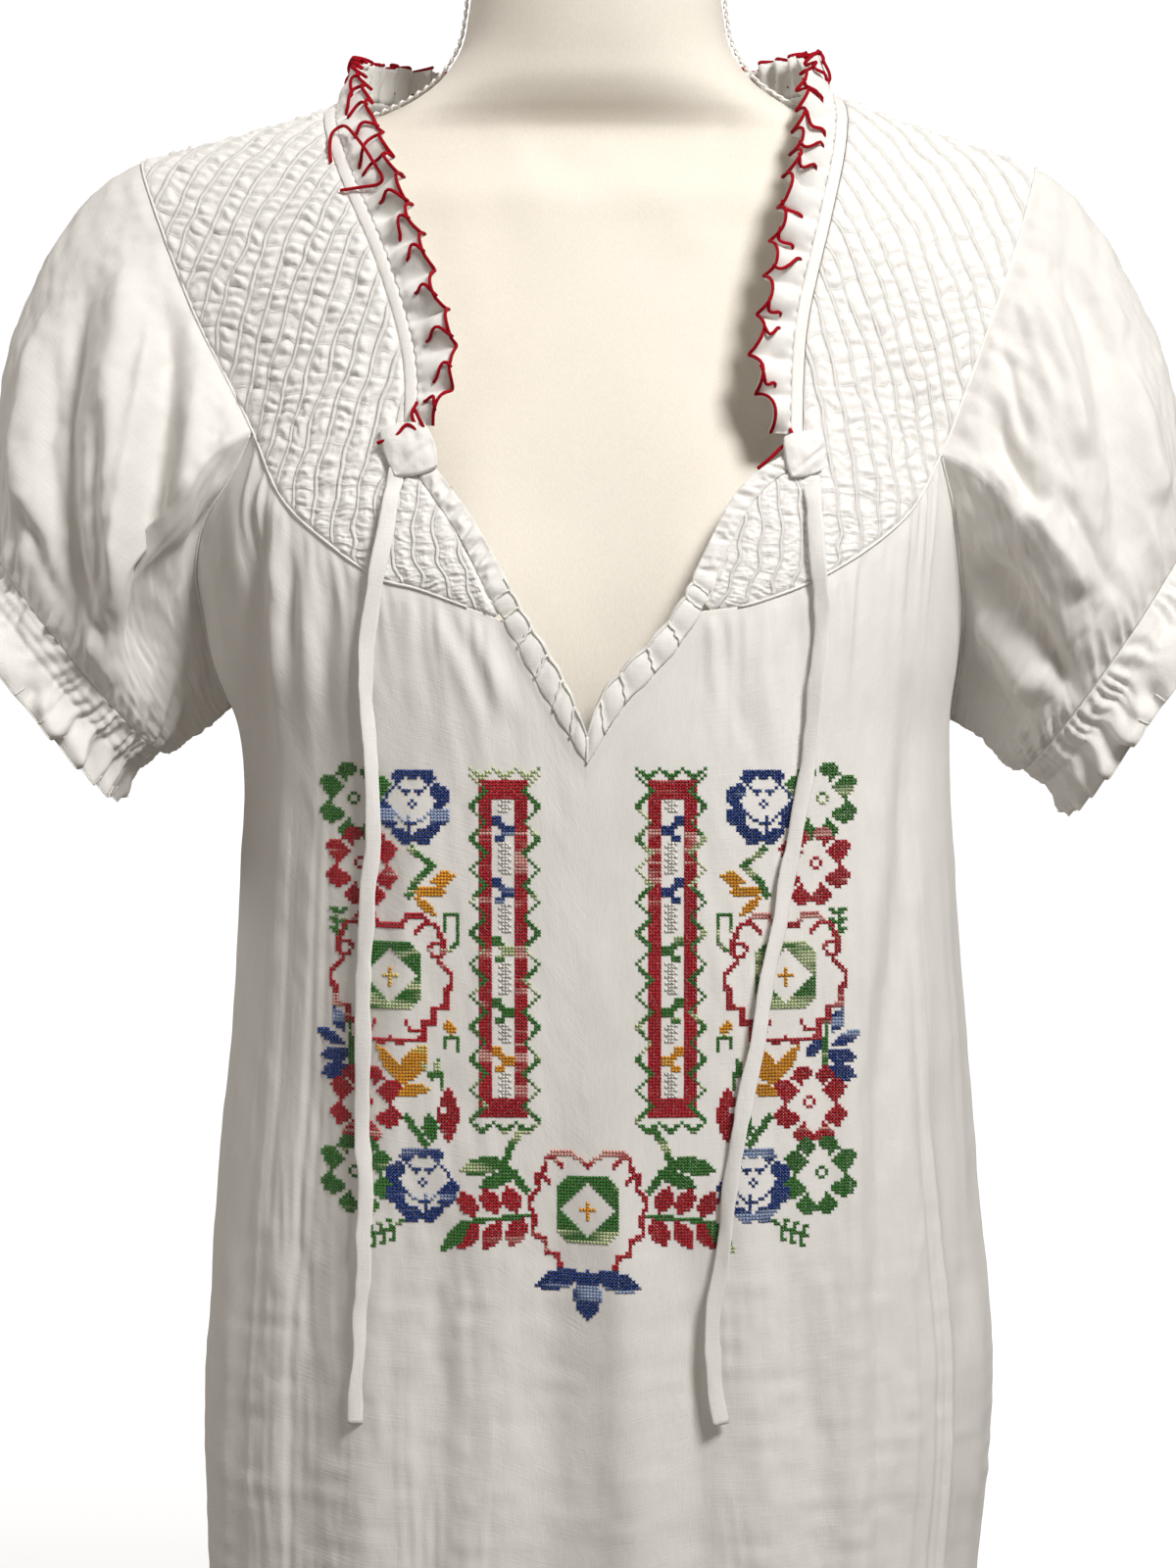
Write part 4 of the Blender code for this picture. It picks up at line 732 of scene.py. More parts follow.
@functools.lru_cache(maxsize=None)
def yoke_cloth():
    """Plain yoke: ruled from the neck and slit edges to the seam, swelled a little.
    Gives its column parameter, grid, normals and width."""
    s = seam_lines()
    t = spread(0.3, (SHOULDER_LEFT, 320), (SHOULDER_RIGHT, 304), (YOKE_END - 0.3, 320))
    inner = trace([(s["slit_left_outer_upper"][::-1], 8), (s["neck_left"], 12),
                   (s["neck_back"], 32), (s["neck_right"], 12),
                   (s["slit_right_outer_upper"], 8)], t)
    outer = trace([(s["front_left"], 12), (s["over_left_front"], 8), (s["over_left_back"], 7),
                   (s["back"], 18), (s["over_right_back"], 7), (s["over_right_front"], 8),
                   (s["front_right"], 12)], t)
    v = np.linspace(0, 1, 89)[None, :, None]
    grid = inner[:, None] * (1 - v) + outer[:, None] * v
    width = np.linalg.norm(outer - inner, axis=1)
    near = np.minimum(abs(t - SHOULDER_LEFT), abs(t - SHOULDER_RIGHT))
    flat = 1 - 0.95 * np.exp(-(near / 3.0) ** 2)
    swell = 4 * v[..., 0] * (1 - v[..., 0]) * (width * 0.045 * flat)[:, None]
    normal = grid_normals(grid, False, (0, 0, 600))
    grid = grid + normal * swell[..., None]
    return t, grid, grid_normals(grid, False, (0, 0, 600)), width


def panel(stretches, t, share, back):
    """Body panel: a column runs down the body surface from its seam point to the hem."""
    top = trace(stretches, t)
    turn = body_turn(top[:, 0], top[:, 2], back)
    even = turn[0] + (turn[-1] - turn[0]) * t / t[-1]
    turns = turn[:, None] + (even - turn)[:, None] * 0.35 * share[None]
    heights = top[:, 2][:, None] * (1 - share) + HEM * share
    grid = body_point(turns, heights)
    fade = np.maximum(0, 1 - share * 3.0) ** 2
    grid = grid + (top - body_point(turn, top[:, 2]))[:, None] * fade[None, :, None]
    normal = grid_normals(grid, False, (0, 0, 300))
    return grid, normal, top[:, 2][:, None] - heights


def gathers(t, below, spans, seed, height, sharp=1.0):
    """Gathers below a seam: narrow ridges of random place, width and length that rise
    within a few millimetres of it and die away. Sharp ones are narrower and shorter."""
    random = np.random.RandomState(seed)
    total = np.zeros(below.shape)
    for start, end, count in spans:
        for place in np.linspace(start, end, count):
            place += random.uniform(-0.16, 0.16)
            wide, reach = random.uniform(0.15, 0.28) / sharp, random.uniform(18, 75) / sharp
            tall, drift = random.uniform(0.35, 1.15), random.uniform(-0.006, 0.006)
            gap = (t[:, None] - place - drift * below) / (wide * (1 + below / 90))
            total += tall * np.exp(-gap ** 2) * np.exp(-(below / reach) ** 2)
    return ((total - 0.3) * height * smooth_step(below * sharp / 9.0)
            * np.exp(-(below / 95) ** 2))


def side_folds(t, share, normal, seed):
    """Soft upright folds where a panel turns to the side: ridges of random width, drifting
    a little as they fall and deepest near the hem."""
    drift = 0.5 * ripple(share * 2.4 + 0 * t[:, None], t[:, None] / 3, seed)
    ridge = ripple(t[:, None] * 1.1 + drift, share * 1.3, seed + 1)
    ridge = ridge + 0.5 * ripple(t[:, None] * 2.7 + drift, share * 2.6, seed + 2)
    aside = smooth_step(np.abs(normal[..., 0]) * 2.4 - 0.8)
    return 1.8 * ridge * aside * smooth_step(share * 2.2 - 0.15)


@functools.lru_cache(maxsize=None)
def front_cloth():
    """Front panel: grid, normals and relief from its folds, gathers and crinkles."""
    s = seam_lines()
    t = spread(0, (5, 24), (17, 108), (20, 12), (23, 12), (35, 108), (FRONT_END, 24))
    share = np.linspace(0, 1, 277) ** 1.12
    grid, normal, below = panel([
        (s["raglan_front_left"][::-1], 5), (s["front_left"][::-1], 12),
        (s["slit_left_outer_lower"], 3), (s["slit_right_outer_lower"][::-1], 3),
        (s["front_right"][::-1], 12), (s["raglan_front_right"], 5)], t, share, False)
    settings = bpy.context.scene.blouse_cloth
    x, z = grid[..., 0], grid[..., 2]
    edge = smooth_step(np.minimum(t, FRONT_END - t) / 2.0)[:, None]
    relief = fold_height(x, z, FRONT_FOLDS) * smooth_step(below / 25.0) * edge
    relief += side_folds(t, share, normal, 51) * edge
    relief += gathers(t, below, ((5.4, 16.6, 20), (23.4, 34.6, 20)), 4,
                      settings.gather_height / MM)
    fine = ripple(x / 9, z / 30, 1) + 0.6 * ripple(x / 4.3 + z / 40, z / 13, 2)
    fine += 0.7 * ripple(x / 14, z / 6, 3) * smooth_step((330 - z) / 120)
    streak = 1 - 2.2 * np.abs(ripple(x / 5.5 + ripple(x / 30, z / 60, 5), z / 46, 6))
    fine += 0.8 * streak * smooth_step((420 - z) / 160)
    relief += fine * settings.crinkle_height / MM * smooth_step(below / 14.0) * edge
    return grid, normal, relief


@functools.lru_cache(maxsize=None)
def back_cloth():
    """Back panel, in the front panel's way."""
    s = seam_lines()
    t = spread(0, (5, 24), (23, 144), (BACK_END, 24))
    share = np.linspace(0, 1, 225) ** 1.12
    grid, normal, below = panel([
        (s["raglan_back_left"][::-1], 5), (s["back"], 18), (s["raglan_back_right"], 5)],
        t, share, True)
    settings = bpy.context.scene.blouse_cloth
    x, z = grid[..., 0], grid[..., 2]
    edge = smooth_step(np.minimum(t, BACK_END - t) / 2.0)[:, None]
    relief = fold_height(x, z, BACK_FOLDS) * smooth_step(below / 30.0) * edge
    relief += side_folds(t, share, normal, 61) * edge
    relief += gathers(t, below, ((5.4, 22.6, 32),), 9, settings.gather_height / MM)
    fine = ripple(x / 9, z / 30, 11) + 0.6 * ripple(x / 4.3 + z / 40, z / 13, 12)
    relief += fine * settings.crinkle_height / MM * smooth_step(below / 14.0) * edge
    return grid, normal, relief


def sleeve_cloth(side):
    """Puffed sleeve: a cubic curve from each armhole point to its point on the cuff, pushed
    out by the puff table. Gives the grid, normals and relief."""
    s = seam_lines()
    puff, ends, folds = ((PUFF_LEFT, CUFF_LEFT, SLEEVE_FOLDS_LEFT) if side == "left"
                         else (PUFF_RIGHT, CUFF_RIGHT, SLEEVE_FOLDS_RIGHT))
    over = [s["over_%s_front" % side], s["over_%s_back" % side]]
    if side == "right":
        over = [line[::-1] for line in over]
    t = spread(0, (5, 44), (13, 112), (20, 68), (SLEEVE_END, 32))[:-1]
    first = trace([(s["raglan_front_" + side][::-1], 5), (over[0], 8), (over[1], 7),
                   (s["raglan_back_" + side], 5)], t)
    turn = np.interp(t, [0, 5, 13, 20, SLEEVE_END], [0, 82, 180, 278, 360])
    last = cuff_ring(ends, t * 360.0 / SLEEVE_END)
    k = np.minimum((turn // 90).astype(int), 3)
    ease = smooth_step((turn - 90 * k) / 90.0)[:, None]
    push = [np.array([row[c] for row in puff], float) for c in (1, 2)]
    out, arrive = [p[k] * (1 - ease) + p[(k + 1) % 4] * ease for p in push]
    share = np.linspace(0, 1, 145)
    w = share[None, :, None]
    grid = ((1 - w) ** 3 * first[:, None] + 3 * (1 - w) ** 2 * w * (first + out)[:, None]
            + 3 * (1 - w) * w * w * (last + arrive)[:, None] + w ** 3 * last[:, None])
    normal = grid_normals(grid, True, np.mean(grid, axis=(0, 1)))
    x, z = grid[..., 0], grid[..., 2]
    ends_fade = smooth_step(share * 5) * smooth_step((1 - share) * 5)
    front = fold_height(x, z, folds) * smooth_step(-normal[..., 1] * 2.5 + 0.2)
    rear = fold_height(x, z + 8, folds) * smooth_step(normal[..., 1] * 2.5 + 0.2)
    settings = bpy.context.scene.blouse_cloth
    quiet = smooth_step((turn - 30) / 40.0) * smooth_step((330 - turn) / 40.0)
    length = np.linalg.norm(np.diff(grid, axis=1), axis=2).sum(axis=1)[:, None]
    pleats = gathers(t, share * length, ((2.0, 23.0, 40),), 21,
                     settings.gather_height / MM * 1.3)
    cuffs = gathers(t, (1 - share) * length, ((0.4, 24.6, 50),), 22,
                    settings.gather_height / MM * 2.0, 1.7)
    fine = ripple(x / 7 + 50, z / 20, 31) + 0.7 * ripple(t[:, None] * 2.6, share * 16, 32)
    fine += 0.6 * ripple(t[:, None] * 4.6 + 3 * share, share * 30, 33)
    fade = smooth_step(share * 12) * smooth_step((1 - share) * 12)
    relief = 1.25 * (front + rear) * ends_fade + pleats * quiet[:, None] + cuffs
    relief += 1.7 * fine * settings.crinkle_height / MM * fade
    return grid, normal, relief


def cuff_ring(ends, turn):
    """Ellipse of the cuff, 0 at its low inner end and 90 at the front."""
    high, low = (np.array(end, float) for end in ends)
    turn = np.radians(turn)[:, None]
    front = np.array([0.0, -CUFF_HALF_DEPTH, 0.0])
    return (high + low) / 2 - (high - low) / 2 * np.cos(turn) + front * np.sin(turn)


def cuff_point(ends, t, reach):
    """Shirred band and frill: out from the cuff ring by reach, waved round the ring. The
    waves are small and tight on the band and grow across the frill."""
    high, low = (np.array(end, float) for end in ends)
    along = unit(high - low)
    outward = unit(np.cross(along, np.array([0.0, 1.0, 0.0])))
    outward = outward if outward[2] < 0 else -outward
    first = cuff_ring(ends, t * 360.0 / SLEEVE_END)
    radial = first - (high + low) / 2
    radial = unit(radial - (radial @ outward)[..., None] * outward)
    loose = smooth_step((reach - 12) / 15.0)
    bend = t + 0.55 * ripple(t * 0.5, 0 * t + 3, 41) + 0.16 * ripple(t * 1.4, 0 * t, 45)
    bend = bend + 0.18 * ripple(t * 0.9, reach / 9, 43)
    wave = np.cos(2 * math.pi * bend + 0.3) * (0.75 + 0.6 * ripple(t * 0.9, 0 * t, 42))
    wave = wave + 1.1 * ripple(t * 1.7 + 0.05 * reach, reach / 12, 46)
    tight = np.cos(2 * math.pi * bend * 2.5 + 1.0 + 2 * ripple(t, reach / 7, 44))
    tight = tight * 1.25 * np.exp(-(reach - 7) ** 2 / 60)
    rows = -0.45 * (np.exp(-((reach - 3.0) / 1.1) ** 2) + np.exp(-((reach - 7.5) / 1.1) ** 2)
                   + 1.3 * np.exp(-((reach - 12.0) / 1.2) ** 2))
    lift = -0.6 * smooth_step(reach / 12) + 5.6 * loose
    lift = lift + wave * 4.3 * (0.26 + 0.74 * loose) * smooth_step(reach / 6)
    lift = lift + (tight + rows) * smooth_step(reach / 2)
    return first + outward * reach[..., None] + radial * lift[..., None]


@functools.lru_cache(maxsize=None)
def front_map():
    """Depth of the front cloth on an even x, z grid, read off the panel row by row."""
    grid, normal, relief = front_cloth()
    outer = grid + normal * relief[..., None]
    x, z = np.arange(-150, 151, 1.0), np.arange(60, 612, 1.0)
    level = [[np.interp(-z[::-1], -column[:, 2], column[:, c])[::-1] for c in (0, 1)]
             for column in outer]
    level = np.array(level)
    rows = [np.interp(x, level[:, 0, k], level[:, 1, k]) for k in range(len(z))]
    return x, z, np.array(rows)


def on_front(x, z, lift):
    """Points on the front cloth at x, z, lifted off it along its normal."""
    xs, zs, depth = front_map()
    i = np.clip(((z - zs[0])).astype(int), 0, len(zs) - 2)
    j = np.clip(((x - xs[0])).astype(int), 0, len(xs) - 2)
    a, b = z - zs[0] - i, x - xs[0] - j
    y = ((depth[i, j] * (1 - b) + depth[i, j + 1] * b) * (1 - a)
         + (depth[i + 1, j] * (1 - b) + depth[i + 1, j + 1] * b) * a)
    slope_x, slope_z = depth[i, j + 1] - depth[i, j], depth[i + 1, j] - depth[i, j]
    normal = unit(np.stack([slope_x, -1 + 0 * x, slope_z], axis=-1))
    return np.stack([x, y, z], axis=-1) + normal * np.asarray(lift)[..., None], normal


def spindles(name, start, end, normal, look, tones):
    """Many short plump stitches: two pointed ends and a middle ring of three points each."""
    middle = (start + end) / 2
    side = unit(np.cross(end - start, normal))
    ring = np.stack([middle + side * STITCH_HALF_WIDTH, middle + normal * STITCH_HALF_HEIGHT,
                     middle - side * STITCH_HALF_WIDTH], axis=1)
    count = len(start)
    points = np.concatenate([start[:, None], ring, end[:, None]], axis=1).reshape(-1, 3)
    k = np.arange(3)
    first = np.stack([0 * k, 1 + k, 1 + (k + 1) % 3], axis=1)
    second = np.stack([4 + 0 * k, 1 + (k + 1) % 3, 1 + k], axis=1)
    faces = np.concatenate([first, second])[None] + (np.arange(count) * 5)[:, None, None]
    faces = faces.reshape(-1, 3)
    a, b, c = points[faces[0, 0]], points[faces[0, 1]], points[faces[0, 2]]
    if np.sum(np.cross(b - a, c - a) * (a + b + c - 3 * middle[0])) < 0:
        faces = faces[:, ::-1]
    full = {key: np.repeat(values, 5) for key, values in tones.items()}
    return put_mesh(name, points, np.zeros((0, 4), int), faces, look, (), None, full)


def neck_frame(t):
    """Neck line points, outward cloth normal, and direction across towards the yoke."""
    columns, grid, normal, _ = yoke_cloth()
    pick = [np.column_stack([np.interp(t, columns, line[:, c]) for c in range(3)])
            for line in (grid[:, 0], normal[:, 0], grid[:, 6] - grid[:, 0])]
    neck, normal, toward = pick[0], unit(pick[1]), pick[2]
    across = unit(np.cross(unit(np.gradient(neck, axis=0)), normal))
    return neck, normal, facing(across, toward)


def neck_frill(t, w):
    """Neck frill at parameter t along the neck and share w across its width: a leaning
    strip whose waves, one to a unit of t, grow towards its edge."""
    neck, normal, across = neck_frame(t)
    share = (t - NECK_START) / (NECK_END - NECK_START)
    rear = smooth_step((share - 0.16) / 0.16) * smooth_step((0.84 - share) / 0.16)
    lean = -across * (0.95 - 0.45 * rear)[:, None] + normal * 0.20
    lean = unit(lean + np.array([0.0, 0.0, 1.0]) * (0.55 * rear)[:, None])
    tangent = unit(np.gradient(neck, axis=0))
    side = facing(unit(np.cross(tangent, lean)), normal)
    base = neck - across * (BINDING_WIDTH + 0.2)
    phase = 2 * math.pi * t + 0.35 + 0.9 * ripple(t * 0.6, 0 * t, 51)
    size = (1 + 0.5 * ripple(t * 0.8, 0 * t, 52))[:, None] * w ** 0.7
    height = bpy.context.scene.blouse_cloth.frill_height / MM
    wave = np.cos(phase)[:, None] * size * height
    wave += np.cos(3 * phase + 1)[:, None] * 0.6 * np.exp(-4 * w)
    wave += 0.9 * ripple(t[:, None] * 3.4, w * 3.1 + 0 * t[:, None], 54) * smooth_step(w * 4)
    sway = np.sin(phase)[:, None] * size * 1.9
    ends = np.minimum(t - (NECK_START + 0.3), (NECK_END - 0.3) - t)
    taper = 0.42 + 0.58 * smooth_step(ends / 1.7)
    reach = NECK_FRILL_WIDTH * (taper * (1 + 0.08 * ripple(t * 1.3, 0 * t, 53)))[:, None] * w
    point = base[:, None] + lean[:, None] * reach[..., None]
    return point + side[:, None] * wave[..., None] + tangent[:, None] * sway[..., None], side


@functools.lru_cache(maxsize=None)
def slit_cloth():
    """Facing round the slit: its parameter, grid, normals and crown. Beside the yoke it is
    drawn into tight gathers; below, it puffs up between the white stitches."""
    s = seam_lines()
    t = spread(0, (8, 120), (11, 48), (14, 48), (SLIT_END, 120))
    sides = [trace([(s["slit_left%s_upper" % e], 8), (s["slit_left%s_lower" % e], 3),
                    (s["slit_right%s_lower" % e][::-1], 3),
                    (s["slit_right%s_upper" % e][::-1], 8)], t) for e in ("_outer", "")]
    w = np.linspace(0, 1, 13)[None]
    hide = 0.7 * np.maximum(0, 1 - np.minimum(t, SLIT_END - t))[:, None]
    outer = sides[0] + (sides[1] - sides[0]) * hide
    grid = outer[:, None] * (1 - w[..., None]) + sides[1][:, None] * w[..., None]
    normal = facing(grid_normals(grid, False), FRONT)
    crown = 0.4 + 1.1 * np.sin(math.pi * w) ** 0.7 + 0.25 * ripple(t[:, None] * 3, w * 3, 81)
    gap = np.min(np.abs(t[:, None] - np.array(SLIT_STITCHES)[None]), axis=1)[:, None]
    low = smooth_step((4.6 - np.abs(t - 11)) / 0.8)[:, None]
    fold = np.abs(ripple(t[:, None] * 4.4 + 1.5 * w, w * 1.2, 83))
    ridges = 2.0 * (0.5 - fold * 1.6) * np.sin(math.pi * w) ** 0.5
    crown = crown + ridges * (1 - low)
    crown = crown + low * (0.5 - 1.5 * np.exp(-(gap / 0.13) ** 2)) * np.sin(math.pi * w) ** 0.4
    side = unit(sides[1] - sides[0])[:, None]
    scallop = low * (0.9 * smooth_step(gap / 0.3) - 0.5) * (w * 2 - 1)
    return t, grid + side * scallop[..., None], normal, crown


class Socket:
    """A shader value that can be added, multiplied and compared like a number."""

    def __init__(self, look, link):
        self.look, self.link = look, link

    def maths(self, operation, *values):
        """A Math node on these values or sockets."""
        node = self.look.node("ShaderNodeMath", {"operation": operation},
                              dict(enumerate(values)))
        return Socket(self.look, node.outputs[0])

    def __add__(self, other):
        return self.maths("ADD", self, other)

    def __mul__(self, other):
        return self.maths("MULTIPLY", self, other)

    def __sub__(self, other):
        return self.maths("SUBTRACT", self, other)

    def __rsub__(self, other):
        return self.maths("SUBTRACT", other, self)

    def ease(self, low, high):
        """0 at low, 1 at high, eased between."""
        node = self.look.node("ShaderNodeMapRange", {"interpolation_type": "SMOOTHSTEP"},
                              {0: self, 1: low, 2: high, 3: 0.0, 4: 1.0})
        return Socket(self.look, node.outputs[0])

    __radd__ = __add__
    __rmul__ = __mul__


class Look:
    """A material built from nodes, with its Principled shader at hand."""

    def __init__(self, name, roughness, sheen=0.0):
        self.material = bpy.data.materials.new(name)
        self.material.use_nodes = True
        self.tree = self.material.node_tree
        self.shader = self.tree.nodes["Principled BSDF"]
        self.shader.inputs["Roughness"].default_value = roughness
        self.shader.inputs["Sheen Weight"].default_value = sheen
        self.shader.inputs["Specular IOR Level"].default_value = 0.25

    def node(self, kind, settings=None, inputs=None):
        """A node of this kind, its settings made first, then its sockets' values or links."""
        made = self.tree.nodes.new(kind)
        for key, value in (settings or {}).items():
            setattr(made, key, value)
        for key, value in (inputs or {}).items():
            value = value.link if isinstance(value, Socket) else value
            if isinstance(value, bpy.types.NodeSocket):
                self.tree.links.new(value, made.inputs[key])
            else:
                made.inputs[key].default_value = value
        return made

    def coords(self, source, scale):
        """Object coordinates or the cloth's own map, scaled."""
        if source == "cloth":
            at = self.node("ShaderNodeUVMap", {"uv_map": "cloth"}).outputs[0]
        else:
            at = self.node("ShaderNodeTexCoord").outputs["Object"]
        return self.node("ShaderNodeMapping", {}, {"Vector": at, "Scale": scale}).outputs[0]

    def noise(self, source, scale, detail, rough=0.5):
        """Noise of a grain that the scale sets, on the coordinates of the source."""
        node = self.node("ShaderNodeTexNoise", {},
                         {"Vector": self.coords(source, scale), "Scale": 1.0,
                          "Detail": detail, "Roughness": rough})
        return Socket(self, node.outputs["Fac"])

    def attribute(self, name):
        """The mesh's own value of this name."""
        node = self.node("ShaderNodeAttribute", {"attribute_name": name})
        return Socket(self, node.outputs["Fac"])

    def mix(self, share, low, high):
        """Colour between two others."""
        node = self.node("ShaderNodeMix", {"data_type": "RGBA"},
                         {0: share, 6: low, 7: high})
        return node.outputs[2]

    def bump(self, height, strength, distance, before=None):
        """A normal raised by a height, on top of the one before."""
        inputs = {"Height": height, "Strength": strength, "Distance": distance}
        if before is not None:
            inputs["Normal"] = before
        return self.node("ShaderNodeBump", {}, inputs).outputs["Normal"]

    def finish(self, colour, normal=None):
        """The material, once its colour and normal are linked."""
        self.tree.links.new(colour, self.shader.inputs["Base Color"])
        if normal is not None:
            self.tree.links.new(normal, self.shader.inputs["Normal"])
        return self.material


def shade(colour, factor):
    """A colour times a factor, with full alpha."""
    return tuple(min(1.0, c * factor) for c in colour) + (1.0,)


def weave_bump(look, source, before=None):
    """Plain weave: fine slubbed threads both ways and a soft crinkle."""
    warp = look.noise(source, (1500, 160, 160), 2.0)
    weft = look.noise(source, (75, 1300, 1300), 2.0)
    crumple = look.noise(source, (210, 110, 110), 4.0, 0.6)
    fine = look.bump(warp + weft * 1.4, 0.22, 0.0004, before)
    return look.bump(crumple, 0.22, 0.0012, fine), warp, weft, crumple


def cotton_look(name, colour, source="cloth"):
    """Off-white plain cotton: painted shade makes it slightly darker between slubs and in its
    hollows.
    """
    look = Look(name, 0.86, 0.12)
    normal, warp, weft, crumple = weave_bump(look, source)
    slow = look.noise(source, (9, 9, 9), 3.0)
    # Painted shade: the colour is darker where the weave and crinkle bumps are low, mixed with a
    # slow random tone.
    share = (warp + weft) * 0.22 + crumple * 0.28 + slow * 0.28
    tint = look.mix(share.ease(0.22, 0.80), shade(colour, 0.93), shade(colour, 1.04))
    return look.finish(tint, normal)


def smocked_look(name, colour):
    """Smocked cotton: raised thread lines along the lattice, which is the cloth map, and
    painted shade that darkens its grooves and the hollows between its pillows."""
    look = Look(name, 0.86, 0.12)
    uv = look.node("ShaderNodeUVMap", {"uv_map": "cloth"})
    parts = look.node("ShaderNodeSeparateXYZ", {}, {0: uv.outputs[0]})
    a, b = Socket(look, parts.outputs[0]), Socket(look, parts.outputs[1])
    normal = weave_bump(look, "object")[0]

    def line(value, offset, wide):
        """1 on the whole numbers of a value, shifted by the offset, and 0 beyond the width."""
        gap = (value + (0.5 + offset)).maths("FRACT", value + (0.5 + offset)) - 0.5
        return 1 - gap.maths("ABSOLUTE", gap).ease(wide * 0.35, wide)

    ridge = line(a, 0.0, 0.075) * 1.0 + line(b, 0.03, 0.040) * 0.30
    groove = line(a, 0.105, 0.055) * 0.7 + line(a, -0.105, 0.055) * 0.7
    tiny = look.noise("object", (330, 330, 520), 3.0, 0.6)
    normal = look.bump(ridge - groove + tiny * 0.55, 0.55, 0.0009, normal)
    # Painted shade: the colour darkens in the hollows between the pillows and in the grooves
    # beside the thread lines; the tiny crinkle noise adds a random tone.
    hollow = look.attribute("hollow")
    share = (hollow * 0.55 + groove * 0.28 + tiny * 0.25).ease(0.15, 0.95)
    tint = look.mix(share, shade(colour, 1.06), shade(colour, 0.88))
    return look.finish(tint, normal)


def thread_look(name, colour, pale=None):
    """Twisted thread: colour that drifts along the piece, with a fine twist in its bump.
    A variegated thread turns pale where its tone attribute is low."""
    look = Look(name, 0.7, 0.0)
    look.shader.inputs["Specular IOR Level"].default_value = 0.08
    twist = look.noise("object", (2600, 2600, 2600), 1.0)
    slow = look.noise("object", (60, 60, 60), 2.0)
    deep = look.mix((twist * 0.5 + slow * 0.5).ease(0.3, 0.7), shade(colour, 0.72),
                    shade(colour, 1.15))
    if pale is not None:
        deep = look.mix(look.attribute("tone"), shade(pale, 1.0), deep)
    return look.finish(deep, look.bump(twist, 0.3, 0.0003))


def jersey_look(name, colour):
    """Matt jersey: fine knitted ribs up the form and soft mottling."""
    look = Look(name, 0.9, 0.2)
    knit = look.noise("object", (1400, 1400, 420), 2.0)
    slow = look.noise("object", (14, 14, 14), 3.0)
    tint = look.mix((knit * 0.5 + slow * 0.5).ease(0.25, 0.75), shade(colour, 0.95),
                    shade(colour, 1.05))
    return look.finish(tint, look.bump(knit + slow * 0.6, 0.18, 0.0005))


def paper_look(name):
    """Pale studio paper that glows: bright behind the blouse, softer on the other sides."""
    look = Look(name, 0.95)
    parts = look.node("ShaderNodeSeparateXYZ", {}, {0: look.coords("object", (1, 1, 1))})
    behind = Socket(look, parts.outputs[1]).ease(-0.9, 1.1)
    glow = look.mix(behind, (0.44, 0.43, 0.42, 1.0), (1.0, 1.0, 1.0, 1.0))
    look.tree.links.new(glow, look.shader.inputs["Emission Color"])
    look.shader.inputs["Emission Strength"].default_value = 1.0
    slow = look.noise("object", (3, 3, 3), 2.0)
    return look.finish(look.mix(slow, (0.34, 0.33, 0.32, 1.0), (0.36, 0.35, 0.34, 1.0)))


class Chart:
    """A cross-stitch chart of the left half and middle, painted shape by shape."""

    def __init__(self):
        self.cells = np.zeros((STITCH_MIDDLE + 24, STITCH_ROWS), int)
        self.x, self.y = np.meshgrid(np.arange(STITCH_MIDDLE + 24), np.arange(STITCH_ROWS),
                                     indexing="ij")

    def paint(self, mask, thread):
        """Stitches of one thread wherever the mask is true."""
        self.cells[mask] = THREADS.index(thread)

    def block(self, x, y, wide, tall, thread):
        """A filled rectangle."""
        self.paint((self.x >= x) & (self.x < x + wide) & (self.y >= y)
                   & (self.y < y + tall), thread)

    def line(self, path, thread, wide=1.4):
        """Stitches within half the width of a broken line."""
        gap, _ = line_distance(self.x.astype(float), self.y.astype(float), path)
        self.paint(gap <= wide / 2, thread)

    def leaf(self, x0, y0, x1, y1, wide, thread):
        """A leaf or petal: a line whose width swells in its middle."""
        gap, share = line_distance(self.x.astype(float), self.y.astype(float),
                                   ((x0, y0), (x1, y1)))
        swell = np.sin(np.clip(share, 0.02, 0.98) * math.pi) ** 0.6
        self.paint(gap <= np.maximum(swell * wide / 2, 0.6), thread)

    def ring(self, x, y, half_wide, half_tall, hole, thread):
        """An eight-sided ring round a diamond hole."""
        a, b = np.abs(self.x - x) / half_wide, np.abs(self.y - y) / half_tall
        outer = (np.maximum(a, b) <= 1) & (a + b <= 1.62)
        self.paint(outer & (a + b > hole), thread)

    def chart(self, rows, x, y, thread, mirror=False):
        """A charted motif."""
        marks = np.array([[c == "x" for c in row] for row in rows]).T
        marks = marks[::-1] if mirror else marks
        part = self.cells[x:x + marks.shape[0], y:y + marks.shape[1]]
        part[marks[:part.shape[0], :part.shape[1]]] = THREADS.index(thread)

    def rose(self, x, y, edge, curls):
        """A scalloped rose: outline and curls mirrored about its middle, ring and heart."""
        for sign in (-1, 1):
            self.line([(x + sign * a, y + b) for a, b in edge], "red", 1.5)
            for curl in curls:
                self.line([(x + sign * a, y + b) for a, b in curl], "red", 1.2)
        self.ring(x, y - 1, 9.6, 10.4, 0.86, "green")
        self.line([(x, y - 3), (x, y + 2)], "yellow", 1.6)
        self.line([(x - 2, y - 1), (x + 2, y - 1)], "yellow", 1.2)


